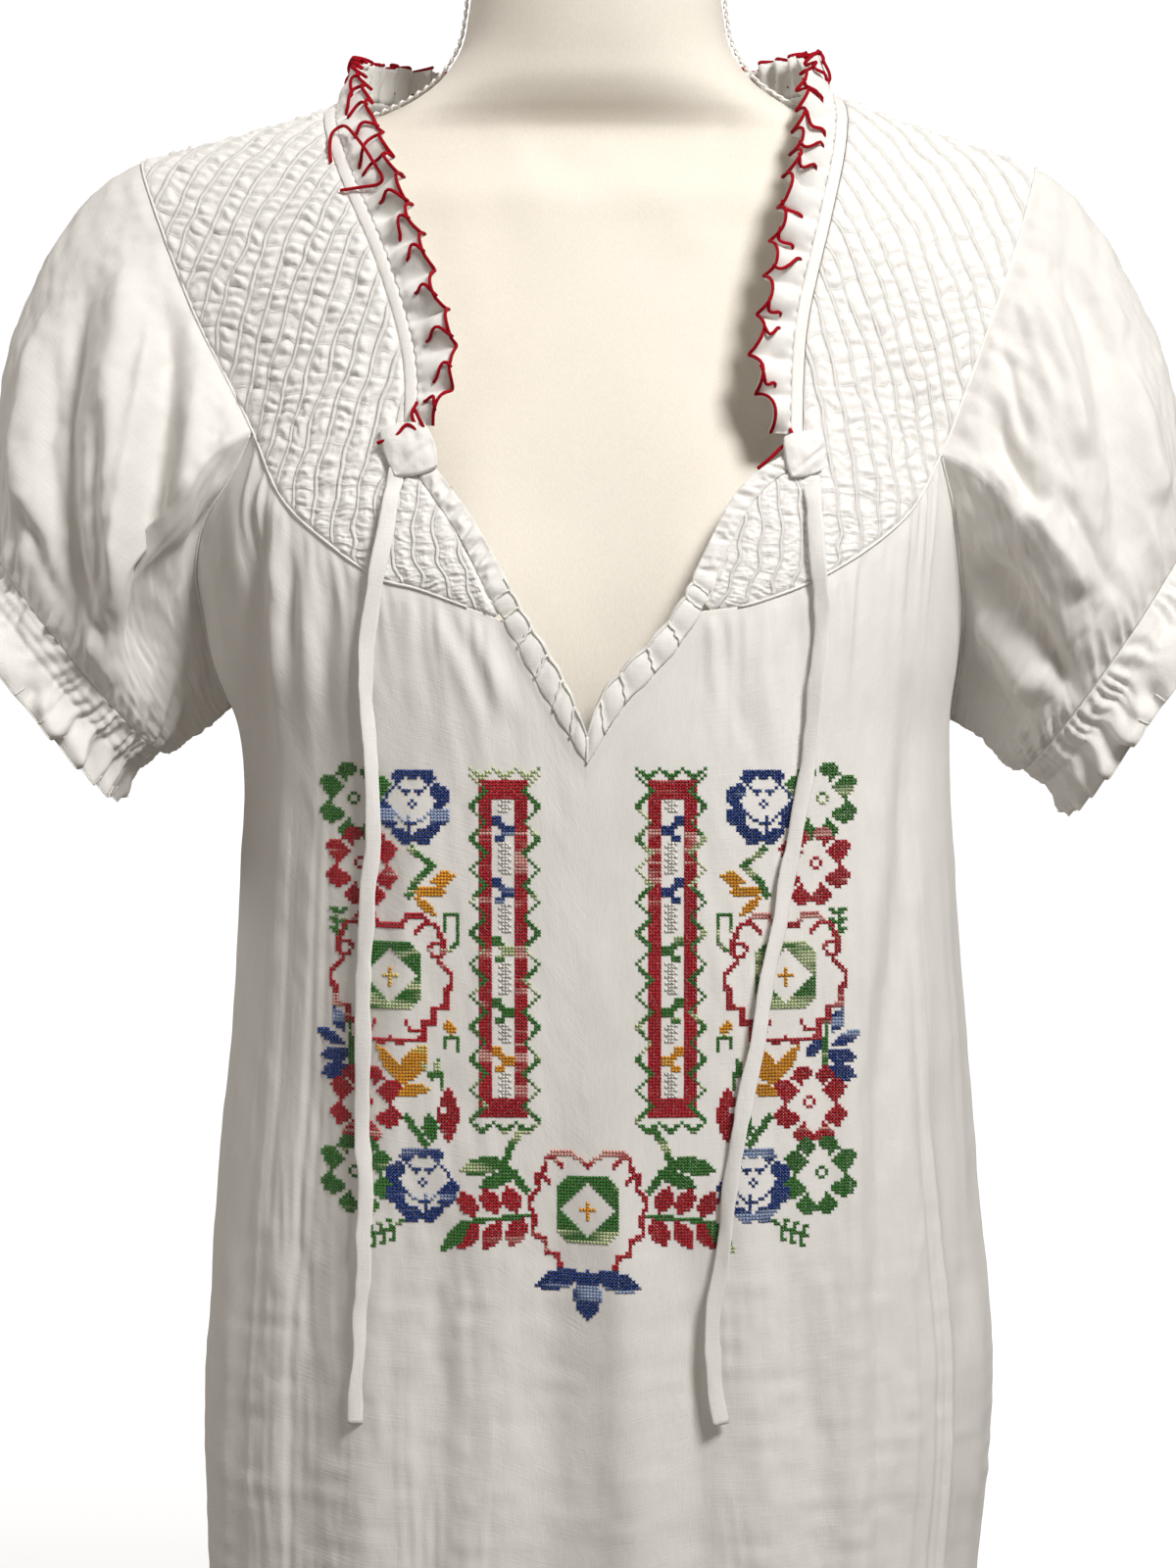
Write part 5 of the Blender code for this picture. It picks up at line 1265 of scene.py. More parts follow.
@functools.lru_cache(maxsize=None)
def front_chart():
    """The whole embroidery: left half painted, right half mirrored."""
    c = Chart()
    # Upright bar with its zigzag border and small filling motifs
    c.block(51, 5, 15, 104, "red")
    c.block(55, 11, 7, 92, "")
    for y in range(11, 103):
        c.block(57 + (y % 2), y, 3, 1, "white")
    for y, thread in ((16, "blue"), (35, "blue"), (53, "green"), (72, "green"), (87, "yellow")):
        c.block(55, y - 1, 7, 9, "")
        c.block(55, y, 3, 3, thread)
        c.block(58, y + 3, 4, 3, thread)
        c.block(56, y + 6, 3, 2, thread)
        c.block(57, y + 2, 2, 2, thread)
    side = [(48 + 4.6 * (k % 2), 3 + 4.85 * k) for k in range(23)]
    c.line(side, "green", 1.05)
    c.line([(117 - x, y) for x, y in side], "green", 1.05)
    for y in (2.5, 111.5):
        c.line([(48 + 3.5 * k, y + (1.3 if k % 2 else -1.3)) for k in range(7)], "green", 1.2)
    # Top blossoms
    c.chart(BLOSSOM_RING, 1, 0, "green")
    c.chart(BLOSSOM_OPEN, 19, 2, "blue")
    c.chart(BLOSSOM_RING, 3, 20, "red")
    c.line([(30, 26), (36, 31), (31, 36), (29, 40)], "green", 2.0)
    c.leaf(36, 36, 43, 34, 4.2, "yellow")
    c.leaf(31, 39, 40, 39, 4.0, "yellow")
    c.leaf(31, 41, 37, 46, 3.4, "yellow")
    c.line([(6, 45), (6.5, 54)], "green", 1.2)
    for y in (46, 49, 52):
        c.line([(4, y - 1), (6.5, y), (9, y - 1)], "green", 1.2)
    c.line([(40, 51), (40, 46), (44, 46), (44, 55), (41, 57)], "green", 1.6)
    # Rose with its ring
    c.rose(23, 66, ROSE_EDGE, ROSE_CURLS)
    c.leaf(5, 76, 8, 83, 4.5, "blue")
    c.leaf(-1, 83, 8, 87, 4.0, "blue")
    c.leaf(1, 91, 10, 90, 4.6, "blue")
    c.leaf(1, 97, 9, 94, 5.0, "blue")
    c.line([(10, 80), (11, 98)], "green", 1.5)
    c.leaf(12, 86, 16, 90, 3.5, "blue")
    # Bell, hooks and small fillings
    c.leaf(19, 87, 27, 98, 4.0, "yellow")
    c.leaf(34, 87, 26, 98, 7.5, "yellow")
    c.leaf(24, 101, 35, 100, 3.8, "yellow")
    c.leaf(41, 79, 42, 83, 3.6, "yellow")
    c.line([(40, 87), (40, 84), (44, 84), (44, 88)], "green", 1.4)
    c.line([(33, 92), (36, 97), (38, 91), (39, 100)], "green", 1.3)
    # Lower blossoms
    c.chart(BLOSSOM_RING, 4, 94, "red", True)
    c.leaf(41, 100, 41, 116, 6.5, "red")
    c.block(39, 106, 2, 2, "")
    c.line([(28, 109), (34, 117)], "green", 2.2)
    c.leaf(35, 108, 36, 116, 5.0, "green")
    c.chart(BLOSSOM_RING, 1, 116, "green")
    c.chart(BLOSSOM_OPEN, 22, 119, "blue", True)
    c.line([(16, 146), (22, 144), (27, 141)], "green", 1.2)
    for x, y in ((17, 146), (20, 145), (23, 144)):
        c.line([(x - 0.5, y - 3), (x + 1, y), (x + 0.5, y + 3)], "green", 1.0)
    # Leaves and red-petalled branch beside the middle rose
    c.leaf(45, 125, 58, 122, 5.5, "green")
    c.leaf(51, 130, 62, 125, 4.8, "green")
    c.line([(63, 113), (60, 118), (58, 124), (61, 126), (65, 131)], "green", 2.4)
    for x, y0, y1, lean in ((48, 132, 139, 3), (55, 131, 138, 3), (61, 130, 138, 2),
                            (49, 149, 142, 5), (56, 149, 141, 4), (63, 148, 140, 3)):
        c.leaf(x - lean, y0, x + 1, y1, 6.0, "red")
    c.line([(42, 145), (46, 141), (55, 140), (66, 139)], "green", 1.5)
    c.leaf(39, 150, 47, 142, 4.5, "green")
    # Middle rose with a three-lobed bell below
    c.rose(STITCH_MIDDLE, 138, HEART_EDGE, ROSE_CURLS[:2])
    c.leaf(84, 156, 84, 171, 8.5, "blue")
    c.leaf(68, 161, 82, 157, 6.0, "blue")
    left = c.cells[:STITCH_MIDDLE]
    return np.concatenate([left, c.cells[STITCH_MIDDLE:STITCH_MIDDLE + 1], left[::-1]])


@functools.lru_cache(maxsize=None)
def looks():
    """Every material, made once."""
    cloth, thread = bpy.context.scene.blouse_cloth, bpy.context.scene.blouse_thread
    form = bpy.context.scene.blouse_form
    made = {
        "cotton": cotton_look("white_cotton", cloth.cotton),
        "smocked": smocked_look("smocked_cotton", cloth.smocked),
        "frill": cotton_look("frill_cotton", cloth.smocked, "object"),
        "band": cotton_look("band_cotton", shade(cloth.smocked, 1.02)[:3], "object"),
        "crimson": thread_look("crimson_thread", thread.crimson),
        "white": thread_look("white_thread", thread.white),
        "stitch_white": thread_look("pale_thread", thread.white),
        "jersey": jersey_look("form_jersey", form.jersey),
        "braid": thread_look("form_braid", form.braid),
    }
    for name, pale in PALE_THREADS.items():
        made["stitch_" + name] = thread_look(name + "_thread", getattr(thread, name), pale)
    return made


def keep(piece, slot, *nodes):
    """Ride on the one body and stand for CAD nodes, hiding them. The slot is not used."""
    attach(piece, "root")
    if nodes:
        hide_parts(*nodes)
    return piece


def threads(name, paths, up, radius, sides, look, slot, *nodes):
    """Round threads along one path or many, made of a look. The slot is not used."""
    paths, up = (lines if lines.ndim == 3 else lines[None] for lines in (paths, up))
    keep(tubes(name, round_rings(paths, up, radius, sides), looks()[look]), slot, *nodes)


class BLOUSE_OT_stage(bpy.types.Operator):
    """Add the camera, the pale floor and backdrop, and the soft lights"""

    bl_idname = "blouse.stage"
    bl_label = "Stage"

    def execute(self, context):
        lens = bpy.data.cameras.new("camera")
        lens.sensor_fit = "HORIZONTAL"
        lens.sensor_width = SENSOR_WIDTH
        spot, aim = np.array(CAMERA_PLACE), np.array(CAMERA_AIM)
        far = float(np.linalg.norm(aim - spot))
        lens.lens = PIXELS_PER_MM * far * 1000 / PHOTO_WIDTH * SENSOR_WIDTH
        lens.clip_end = 50
        camera = bpy.data.objects.new("camera", lens)
        camera.location = spot
        camera.rotation_euler = (math.pi / 2 - math.asin((spot[2] - aim[2]) / far), 0, 0)
        context.scene.collection.objects.link(camera)
        context.scene.camera = camera
        # Round floor that curves up into a wall all round: a profile in radius, height
        turn = np.linspace(0, math.pi / 2, 16)
        profile = np.vstack([[[20, 0], [600, 0], [2000, 0]],
                             np.column_stack([5000 + 2000 * np.sin(turn),
                                              2000 - 2000 * np.cos(turn)]),
                             [[7000, 9000], [20, 9500]]])
        round_about = circle(STUDIO_SIDES)
        grid = np.stack(np.broadcast_arrays(
            profile[:, 0] * np.cos(round_about)[:, None],
            profile[:, 0] * np.sin(round_about)[:, None], profile[:, 1]), axis=-1)
        nv = len(profile)
        i, j = np.meshgrid(np.arange(STUDIO_SIDES), np.arange(nv - 1), indexing="ij")
        base, after = i * nv + j, (i + 1) % STUDIO_SIDES * nv + j
        quads = np.stack([base, after, after + 1, base + 1], axis=-1).reshape(-1, 4)
        floor = put_mesh("studio_floor", grid.reshape(-1, 3), quads, np.zeros((0, 3), int),
                         paper_look("studio_paper"))
        # The camera sees the paper glow, but it casts no light on the blouse
        floor.visible_diffuse = floor.visible_glossy = floor.visible_shadow = False
        for name, place, size, power, tint in LIGHTS:
            data = bpy.data.lights.new(name, "AREA")
            data.energy, data.size, data.color = power, size, tint
            data.spread = math.radians(LIGHT_SPREAD)
            light = bpy.data.objects.new(name, data)
            light.location = place
            back = np.array(place) - np.array(LIGHT_AIM)
            flat = math.hypot(back[0], back[1])
            light.rotation_euler = (math.atan2(flat, back[2]), 0,
                                    math.atan2(back[1], back[0]) + math.pi / 2)
            context.scene.collection.objects.link(light)
        world = bpy.data.worlds.new("studio")
        world.use_nodes = True
        world.node_tree.nodes["Background"].inputs[0].default_value = (1.0, 0.90, 0.78, 1.0)
        world.node_tree.nodes["Background"].inputs[1].default_value = 0.2
        context.scene.world = world
        context.scene.view_settings.view_transform = "Standard"
        return {"FINISHED"}


class BLOUSE_OT_ties(bpy.types.Operator):
    """Hang the two flat ties: a folded tape carried along each table's line"""

    bl_idname = "blouse.ties"
    bl_label = "Ties"

    def execute(self, context):
        for side, table, seed in (("left", TIE_LEFT, 61), ("right", TIE_RIGHT, 62)):
            rows = at_share(spline(table), np.linspace(0, 1, 211))
            x, z, turn = rows[:, 0], rows[:, 1], np.radians(rows[:, 2])
            y = front_depth(x, z) - 5.0 - 3.0 * np.exp(-((z - 568) / 22.0) ** 2)
            top = smooth_step((z - 590) / 10.0)
            y = y * (1 - top) + (front_depth(x, z) - 2.8) * top
            x = x + 0.5 * ripple(z / 17, 0 * z, seed) * (1 - top)
            middle = np.column_stack([x, y, z])
            turn = turn + 0.25 * ripple(z / 28, 0 * z + 5, seed)
            across = np.column_stack([np.cos(turn), np.sin(turn) * 0.8, 0 * x])
            along = unit(np.gradient(middle, axis=0))
            across = unit(across - np.sum(across * along, axis=1)[:, None] * along)
            face = facing(unit(np.cross(across, along)), FRONT)
            # Cross-section: a flat tape, fuller at its stitched edges
            k = circle(12)
            wide = np.sign(np.cos(k)) * np.abs(np.cos(k)) ** 0.6 * TIE_WIDTH / 2
            tall = np.sin(k) * (0.46 + 0.22 * np.exp(-((np.abs(wide) - 2.6) / 0.7) ** 2))
            pinch = 1 - 0.10 * ripple(z / 7, 0 * z + 9, seed)
            cup = 0.5 * ripple(z / 14, 0 * z + 2, seed)[:, None] * (wide / 3.5)[None] ** 2
            rings = (middle[:, None] + across[:, None] * (wide * pinch[:, None])[..., None]
                     + face[:, None] * (tall[None] + cup)[..., None])
            piece = tubes("tie_tape_" + side, rings, looks()["band"])
            keep(piece, "band_cotton", "tie_" + side)
        return {"FINISHED"}


class BLOUSE_OT_body(bpy.types.Operator):
    """Drape the front and back panels"""

    bl_idname = "blouse.body"
    bl_label = "Front and back"

    def execute(self, context):
        grid, normal, relief = front_cloth()
        piece = shell("front_cloth", grid, normal, relief, BODY_THICK, False, 4,
                      looks()["cotton"], cloth_uv(grid, False))
        keep(piece, "cotton", "front_panel")
        grid, normal, relief = back_cloth()
        piece = shell("back_cloth", grid, normal, relief, BODY_THICK, False, 4,
                      looks()["cotton"], cloth_uv(grid, False))
        keep(piece, "cotton", "back_panel")
        return {"FINISHED"}


class BLOUSE_OT_yoke(bpy.types.Operator):
    """Make the smocked yoke, its pillows pressed between two families of stitched lines"""

    bl_idname = "blouse.yoke"
    bl_label = "Smocked yoke"

    def execute(self, context):
        settings = context.scene.blouse_cloth
        t, grid, normal, width = yoke_cloth()
        near = np.minimum(t, YOKE_END - t)
        coarse = settings.smock_pitch / MM
        pitch = coarse * (0.68 + 0.32 * smooth_step((near - 3) / 7))
        middle = grid[:, 44]
        step = np.linalg.norm(np.diff(middle, axis=0), axis=1)
        along = np.concatenate([[0], np.cumsum(step / (pitch[1:] + pitch[:-1]) * 2)])
        along = np.abs(along - np.interp(YOKE_END / 2, t, along))[:, None]
        v = np.linspace(0, 1, grid.shape[1])[None]
        down = (1 - v) * (width / pitch)[:, None]
        warp = 0.16 * ripple(along * 1.3, down * 1.3 + 9, 71)
        warp2 = 0.24 * ripple(along * 1.1, down * 1.2 + 40, 72)
        warp2 += 0.12 * ripple(along * 3.1, down * 3.0, 76)
        a = along + down + warp
        b = along - down + warp2
        size = np.broadcast_to(pitch[:, None], a.shape)
        gap_a = np.abs(a - np.round(a)) * size * 0.6
        gap_b = np.abs(b - np.round(b)) * size * 0.8
        gap_h = np.abs(b - 0.5 - np.round(b - 0.5)) * size * 0.8
        pinch = 0.74 + 0.24 * ripple(a * 2.3, b * 2.3, 77)
        puff = 1 - np.exp(-(gap_a / 1.9) ** 2)
        puff = puff * (1 - pinch * np.exp(-(gap_b / 1.35) ** 2))
        puff = puff * (1 - (pinch - 0.15) * np.exp(-(gap_h / 1.25) ** 2))
        random = np.random.RandomState(73)
        at = np.floor(a).astype(int) % 64, np.floor(2 * b).astype(int) % 128
        tall, lean_a, lean_b = (random.uniform(low, high, (64, 128))[at]
                                for low, high in ((0.5, 1.2), (-0.7, 0.7), (-0.8, 0.8)))
        tilt = (a - np.floor(a) - 0.5) * lean_a + (2 * b - np.floor(2 * b) - 0.5) * lean_b
        thread = 0.55 * np.exp(-(gap_a / 0.85) ** 2)
        rung = smooth_step((12 - near) / 4)[:, None] * 0.5
        thread = np.maximum(thread, rung * np.exp(-(np.minimum(gap_b, gap_h) / 0.75) ** 2))
        crease = 1 - 2.4 * np.abs(ripple(a * 1.7 + 0.5 * warp2, b * 4.6, 74))
        crease += 0.6 - 1.5 * np.abs(ripple(a * 4.6, b * 2.6, 75))
        edge = np.minimum(v, 1 - v) * width[:, None]
        relief = puff * (tall + tilt) + thread + crease * (0.08 + 0.20 * puff)
        relief = relief * settings.smock_height / MM * smooth_step(edge / 2.2)
        uv = np.stack([a, b], axis=-1)
        # The last value, 1 - puff, is painted shade: it darkens the cloth's colour in the hollows
        # between the pillows.
        piece = shell("yoke_smocking", grid, normal, relief, BODY_THICK, False, 4,
                      looks()["smocked"], uv, 1 - puff)
        keep(piece, "smocked_cotton", "yoke")
        return {"FINISHED"}


class BLOUSE_OT_sleeves(bpy.types.Operator):
    """Make the puffed sleeves and their shirred, frilled cuffs"""

    bl_idname = "blouse.sleeves"
    bl_label = "Sleeves and cuffs"

    def execute(self, context):
        for side, ends in (("left", CUFF_LEFT), ("right", CUFF_RIGHT)):
            grid, normal, relief = sleeve_cloth(side)
            piece = shell("puff_sleeve_" + side, grid, normal, relief, SLEEVE_THICK, True, 4,
                          looks()["cotton"], cloth_uv(grid, True))
            keep(piece, "cotton", "sleeve_" + side)
            t = np.arange(CUFF_COLUMNS) / (CUFF_COLUMNS / SLEEVE_END)
            reach = np.linspace(0, CUFF_REACH, CUFF_ROWS)
            both = np.broadcast_arrays(t[:, None], reach[None])
            grid = cuff_point(ends, both[0].reshape(-1), both[1].reshape(-1))
            grid = grid.reshape(CUFF_COLUMNS, CUFF_ROWS, 3)
            normal = grid_normals(grid, True, np.mean(grid, axis=(0, 1)))
            piece = shell("cuff_frill_" + side, grid, normal, np.zeros(grid.shape[:2]),
                          CUFF_THICK, True, 2, looks()["frill"])
            keep(piece, "frill_cotton", "cuff_" + side)
        return {"FINISHED"}


class BLOUSE_OT_neck(bpy.types.Operator):
    """Make the neck binding, the gathered neck frill, the slit's facing and the tabs"""

    bl_idname = "blouse.neck"
    bl_label = "Neck and slit"

    def execute(self, context):
        t = np.linspace(NECK_START + 0.05, NECK_END - 0.05, 56 * 9 + 1)
        neck, normal, across = neck_frame(t)
        # Binding: a folded strip, its section a flattened oval dimpled along both edges
        k = circle(16)
        dimple = 0.12 * np.cos(t * 2 * math.pi * 3.4)
        wide = np.sign(np.cos(k)) * np.abs(np.cos(k)) ** 0.7 * 2.75
        tall = np.sign(np.sin(k)) * np.abs(np.sin(k)) ** 0.8 * 1.15
        flat = tall[None] * (1 - dimple[:, None] * np.exp(-((np.abs(wide) - 2.1) / 0.5) ** 2))
        middle = neck - across * 3.05 - normal * 0.5
        rings = (middle[:, None] + across[:, None] * wide[None, :, None]
                 + normal[:, None] * flat[..., None])
        piece = tubes("neck_band", rings, looks()["band"])
        keep(piece, "band_cotton", "neck_binding")
        # Frill
        t = np.linspace(NECK_START + 0.5, NECK_END - 0.5, 55 * 16 + 1)
        w = np.linspace(0, 1, 17)[None]
        grid, side = neck_frill(t, w)
        normal = facing(grid_normals(grid, False), side[:, None])
        piece = shell("neck_frill", grid, normal, np.zeros(grid.shape[:2]), FRILL_THICK,
                      False, 2, looks()["frill"])
        keep(piece, "frill_cotton", "neck_ruffle")
        t, grid, normal, crown = slit_cloth()
        piece = shell("slit_band", grid, normal, crown, FACING_THICK, False, 4,
                      looks()["band"])
        keep(piece, "band_cotton", "slit_facing")
        # Tabs
        for name, corners in TABS:
            c = np.array(corners, float)
            u, v = np.meshgrid(np.linspace(-1, 1, 33), np.linspace(-1, 1, 25), indexing="ij")
            # The square is drawn in to a rounded, crumpled end
            narrow_u, narrow_v = np.sqrt(1 - 0.26 * v * v), np.sqrt(1 - 0.26 * u * u)
            u, v = (u * narrow_u + 1) / 2, (v * narrow_v + 1) / 2
            flat = ((1 - u) * (1 - v))[..., None] * c[0] + (u * (1 - v))[..., None] * c[1]
            flat = flat + (u * v)[..., None] * c[2] + ((1 - u) * v)[..., None] * c[3]
            y = front_depth(flat[..., 0], flat[..., 1]) - 4.0
            grid = np.stack([flat[..., 0], y, flat[..., 1]], axis=-1)
            normal = facing(grid_normals(grid, False), FRONT)
            k = np.linspace(0, math.pi, 33)[:, None], np.linspace(0, math.pi, 25)[None]
            swell = np.sin(k[0]) ** 0.6 * np.sin(k[1]) ** 0.6 * 2.4
            swell = swell - 1.4 * np.exp(-((u * 0.5 + v - 0.95) / 0.07) ** 2)
            swell = swell + 1.1 * ripple(u * 4.2 + v, v * 3.3, 82) + 0.3 * ripple(u * 9, v * 8, 84)
            swell = swell * np.sin(k[0]) ** 0.3 * np.sin(k[1]) ** 0.3
            piece = shell("tab_fold_" + name, grid, normal, swell, TAB_THICK, False, 4,
                          looks()["band"])
            keep(piece, "band_cotton", "tab_" + name)
        return {"FINISHED"}


class BLOUSE_OT_form(bpy.types.Operator):
    """Cover the dress form and lay its looped braid"""

    bl_idname = "blouse.form"
    bl_label = "Dress form"

    def execute(self, context):
        # Rings of a rounded oval up the form, with two soft mounds at the front
        z = spread(0, (8, 4), (700, 60), (800, 60), (878, 20), (887, 6))
        turn = circle(120)
        half, front, back, bust = (lookup(FORM_RINGS, c, z)[:, None] for c in (1, 2, 3, 4))
        e = 2.0 / FORM_POWER
        cos, sin = np.cos(turn)[None], np.sin(turn)[None]
        x = half * np.sign(cos) * np.abs(cos) ** e
        y = -np.where(sin > 0, front, back) * np.sign(sin) * np.abs(sin) ** e
        y = y - bust * np.exp(-((np.abs(x) - 62) / 34.0) ** 2) * np.maximum(sin, 0)
        y = y - fold_height(x, z[:, None] + 0 * x, FORM_CREASES) * np.maximum(sin, 0)
        rings = np.stack([x, y, z[:, None] + 0 * x], axis=-1)
        piece = tubes("form_cover", rings, looks()["jersey"])
        keep(piece, "form_jersey", "form_torso")
        for side, sign in (("left", -1), ("right", 1)):
            heights = np.array(BRAID_HEIGHTS, float)
            half = lookup(FORM_RINGS, 1, heights)
            low = lookup(FORM_RINGS, 1, heights - 2)
            high = lookup(FORM_RINGS, 1, np.minimum(heights + 2, 880))
            out = unit(np.column_stack([0 * half + 4.0, low - high]))
            share = (7.0 / lookup(FORM_RINGS, 2, heights)) ** FORM_POWER
            half = half * (1 - share) ** (1 / FORM_POWER)
            path = np.column_stack([sign * (half + out[:, 0] * 1.7), 0 * half - 7.0,
                                    heights + out[:, 1] * 1.7])
            outward = np.column_stack([sign * out[:, 0], 0 * half, out[:, 1]])
            share = np.linspace(0, 1, 1300)
            path, outward = at_share(path, share), unit(at_share(outward, share))
            length = np.linalg.norm(np.diff(path, axis=0), axis=1).sum()
            along = unit(np.gradient(path, axis=0))
            cross = np.cross(along, outward)
            # A looping line: round and round a small circle while moving along
            phase = share * length / LOOP_PITCH * 2 * math.pi
            loop = (path + cross * (LOOP_ACROSS * np.cos(phase))[:, None]
                    + along * (LOOP_ALONG * np.sin(phase))[:, None]
                    + outward * (0.35 * np.sin(phase * 2))[:, None])
            threads("looped_braid_" + side, loop, outward, BRAID_RADIUS, 6, "braid",
                    "form_trim", "form_braid_" + side)
        return {"FINISHED"}


class BLOUSE_OT_embroidery(bpy.types.Operator):
    """Work the chart in cross stitch on the front: two crossed plump threads to a square"""

    bl_idname = "blouse.embroidery"
    bl_label = "Embroidery"

    def execute(self, context):
        size = context.scene.blouse_thread.stitch_size / MM
        cells = front_chart()
        for code, thread in enumerate(THREADS[1:], start=1):
            i, j = np.nonzero(cells == code)
            random = np.random.RandomState(90 + code)
            x = CHART_MIDDLE_X + (i - STITCH_MIDDLE) * size + random.uniform(-0.06, 0.06, len(i))
            z = CHART_TOP_Z - j * size + random.uniform(-0.06, 0.06, len(i))
            # The dyed thread runs from pale to full along the rows it was worked in
            drift = ripple(j / 5.2 + 7 * code, i / 34.0, 95 + code)
            drift += 0.62 * ripple(j / 1.3, i / 12.0, 96)
            tone = smooth_step((drift + 0.86) / 0.4)
            starts, ends, normals = [], [], []
            for lift, dx in ((0.18, 1.0), (0.34, -1.0)):
                reach = 0.62 * size
                a, normal = on_front(x - dx * reach, z - reach, lift + 0 * x)
                b, _ = on_front(x + dx * reach, z + reach, lift + 0 * x)
                starts.append(a)
                ends.append(b)
                normals.append(normal)
            piece = spindles("cross_stitch_" + thread, np.vstack(starts), np.vstack(ends),
                             np.vstack(normals), looks()["stitch_" + thread],
                             {"tone": np.tile(tone, 2)})
            keep(piece, "cotton")
        return {"FINISHED"}


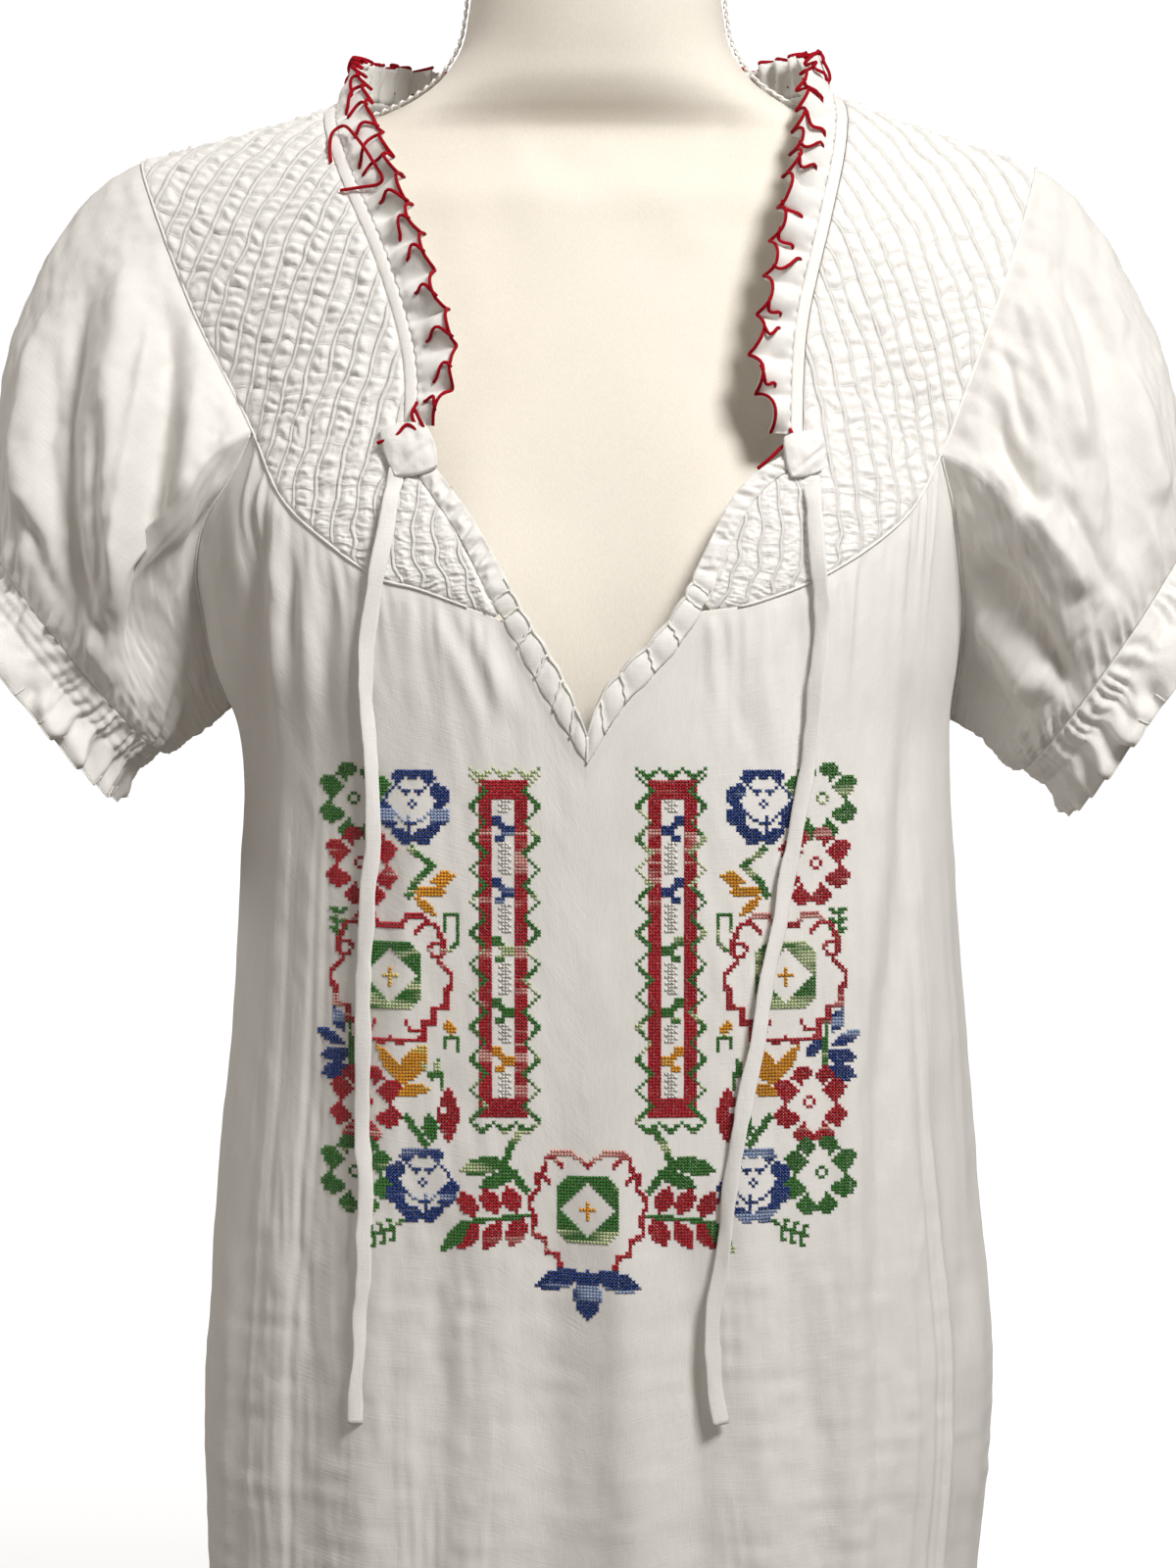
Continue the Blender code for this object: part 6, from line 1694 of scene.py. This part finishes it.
class BLOUSE_OT_edging(bpy.types.Operator):
    """Edge the neck frill in crimson blanket stitch, and the slit and cuffs in white"""

    bl_idname = "blouse.edging"
    bl_label = "Blanket stitch"

    def execute(self, context):
        radius = context.scene.blouse_thread.edging_radius / MM
        random = np.random.RandomState(101)
        # A thread that loops from leg to leg along the frill's edge, and a leg at each
        count = FRILL_STITCHES
        place = NECK_START + 0.8 + np.arange(count) * 1.005 + random.uniform(-0.2, 0.2, count)
        t = np.linspace(NECK_START + 0.55, NECK_END - 0.55, 55 * 16 + 1)
        edge, side = neck_frill(t, np.full((1, 1), 1.0))
        arc = np.abs(np.sin(math.pi * np.interp(t, place, np.arange(count))))
        inward = edge[:, 0] - neck_frill(t, np.full((1, 1), 0.9))[0][:, 0]
        edge = edge[:, 0] + unit(inward) * (1.5 * arc - 0.5)[:, None]
        edge = edge + side * (0.7 + 0.8 * ripple(t * 2.2, 0 * t, 102))[:, None]
        threads("edge_thread_crimson", edge, side, radius, 6, "crimson", "frill_cotton")
        depth, lean = random.uniform(0.52, 0.86, count), random.uniform(-0.42, 0.42, count)
        legs = []
        for share in np.linspace(0, 1, 11):
            at = place + lean * share + 0.12 * math.sin(share * 5)
            point, normal = neck_frill(at, (1.03 - depth * share)[:, None])
            rise = 0.8 + 1.3 * math.sin(math.pi * min(share * 1.1, 1.0)) - 1.6 * (share > 0.95)
            legs.append(point[:, 0] + normal * rise)
        legs = np.stack(legs, axis=1)
        up = np.repeat(normal[:, None], legs.shape[1], axis=1)
        threads("leg_threads_crimson", legs, up, radius, 6, "crimson", "frill_cotton")
        # Loose loop by the left shoulder and the tails at the ties
        for name, path in LOOSE_THREADS:
            path = spline(path, fine=10)
            up = np.broadcast_to((0.0, -1.0, 0.15), path.shape)
            threads("loose_thread_" + name, path, up, radius, 6, "crimson", "frill_cotton")
        # Welts: a rolled edge of cloth along the yoke seam and down the raglan seams
        lines = seam_lines()
        _, grid, up, _ = yoke_cloth()
        rolls = [("yoke", grid[:, -1], up[:, -1])]
        for side_name in ("left", "right"):
            for place_name in ("front", "back"):
                line = lines["raglan_%s_%s" % (place_name, side_name)]
                rolls.append(("%s_%s" % (place_name, side_name), line,
                              unit(line * (1.0, 1.0, 0.0) + (0.0, line[:1, 1][0], 0.0))))
        for name, line, up in rolls:
            share = np.linspace(0.01, 0.97 if name != "yoke" else 0.99, 40 + 4 * len(line) // 10)
            path, lift = at_share(line, share), unit(at_share(up, share))
            beat = 0.62 + 0.10 * ripple(np.arange(len(path)) / 3.0, 0 * share, 105)
            threads("seam_welt_" + name, path + lift * 0.55, lift, beat, 7, "frill", "cotton")
        # Slit: white legs across the facing and a thread along its inner edge
        t, grid, normal, crown = slit_cloth()
        outer = grid + normal * crown[..., None]
        rows = np.nonzero((t >= SLIT_THREAD_START) & (t <= SLIT_THREAD_END))[0]
        edge = outer[rows, -2] + normal[rows, -2] * 0.5
        threads("slit_edge_thread", edge, normal[rows, -2], WHITE_RADIUS, 6, "white",
                "band_cotton")
        legs, ups = [], []
        for at in SLIT_STITCHES:
            i = np.clip(np.interp(at + np.linspace(0.08, -0.08, 9) * np.sign(at - 11),
                                  t, np.arange(len(t))), 0, len(t) - 2)
            j = np.linspace(11, 0.2, 9)
            i0, j0 = i.astype(int), j.astype(int)
            point, up = outer[i0, j0], normal[i0, j0]
            blend = (j - j0)[:, None]
            point = point * (1 - blend) + outer[i0, j0 + 1] * blend
            legs.append(point + up * 0.55)
            ups.append(up)
        threads("slit_leg_threads", np.array(legs), np.array(ups), WHITE_RADIUS, 6, "white",
                "band_cotton")
        # Cuffs: thread along the frill's edge and short legs
        for side_name, ends in (("left", CUFF_LEFT), ("right", CUFF_RIGHT)):
            t = np.linspace(0, SLEEVE_END, 501)[:-1]
            ring = cuff_point(ends, t, np.full(len(t), CUFF_EDGE))
            ring = np.vstack([ring, ring[:1]])
            out = unit(ring - ring.mean(axis=0))
            threads("cuff_edge_thread_" + side_name, ring, out, 0.38, 5, "white",
                    "frill_cotton")
            count = CUFF_STITCHES
            place = np.arange(count) * SLEEVE_END / count + random.uniform(-0.1, 0.1, count)
            legs = np.stack([cuff_point(ends, place, np.full(count, CUFF_EDGE - k))
                             for k in range(6)], axis=1)
            out = unit(legs - ring.mean(axis=0))
            threads("cuff_leg_threads_" + side_name, legs + out * 0.45, out, 0.36, 5, "white",
                    "frill_cotton")
        return {"FINISHED"}


class BLOUSE_PT_panel(bpy.types.Panel):
    """Lists the blouse's steps and settings"""

    bl_label = "Peasant Blouse"
    bl_idname = "BLOUSE_PT_panel"
    bl_space_type = "VIEW_3D"
    bl_region_type = "UI"
    bl_category = "Blouse"

    def draw(self, context):
        for operator in OPERATORS:
            self.layout.operator(operator.bl_idname)
        for group in (context.scene.blouse_cloth, context.scene.blouse_thread,
                      context.scene.blouse_form):
            for key in group.bl_rna.properties.keys():
                if key not in ("rna_type", "name"):
                    self.layout.prop(group, key)


OPERATORS = (BLOUSE_OT_stage, BLOUSE_OT_ties, BLOUSE_OT_body, BLOUSE_OT_yoke,
             BLOUSE_OT_sleeves, BLOUSE_OT_neck, BLOUSE_OT_edging, BLOUSE_OT_embroidery,
             BLOUSE_OT_form)
CLASSES = (ClothSettings, ThreadSettings, FormSettings, *OPERATORS, BLOUSE_PT_panel)


def register():
    """Register the classes and hang their settings on the scene."""
    for cls in CLASSES:
        bpy.utils.register_class(cls)
    bpy.types.Scene.blouse_cloth = bpy.props.PointerProperty(type=ClothSettings)
    bpy.types.Scene.blouse_thread = bpy.props.PointerProperty(type=ThreadSettings)
    bpy.types.Scene.blouse_form = bpy.props.PointerProperty(type=FormSettings)


def unregister():
    """Take the settings and classes away again."""
    del bpy.types.Scene.blouse_form
    del bpy.types.Scene.blouse_thread
    del bpy.types.Scene.blouse_cloth
    for cls in reversed(CLASSES):
        bpy.utils.unregister_class(cls)


def main():
    """Build every piece in order."""
    register()
    bpy.ops.blouse.stage()
    bpy.ops.blouse.ties()
    bpy.ops.blouse.body()
    bpy.ops.blouse.yoke()
    bpy.ops.blouse.sleeves()
    bpy.ops.blouse.neck()
    bpy.ops.blouse.edging()
    bpy.ops.blouse.embroidery()
    bpy.ops.blouse.form()


if __name__ == "__main__":
    main()
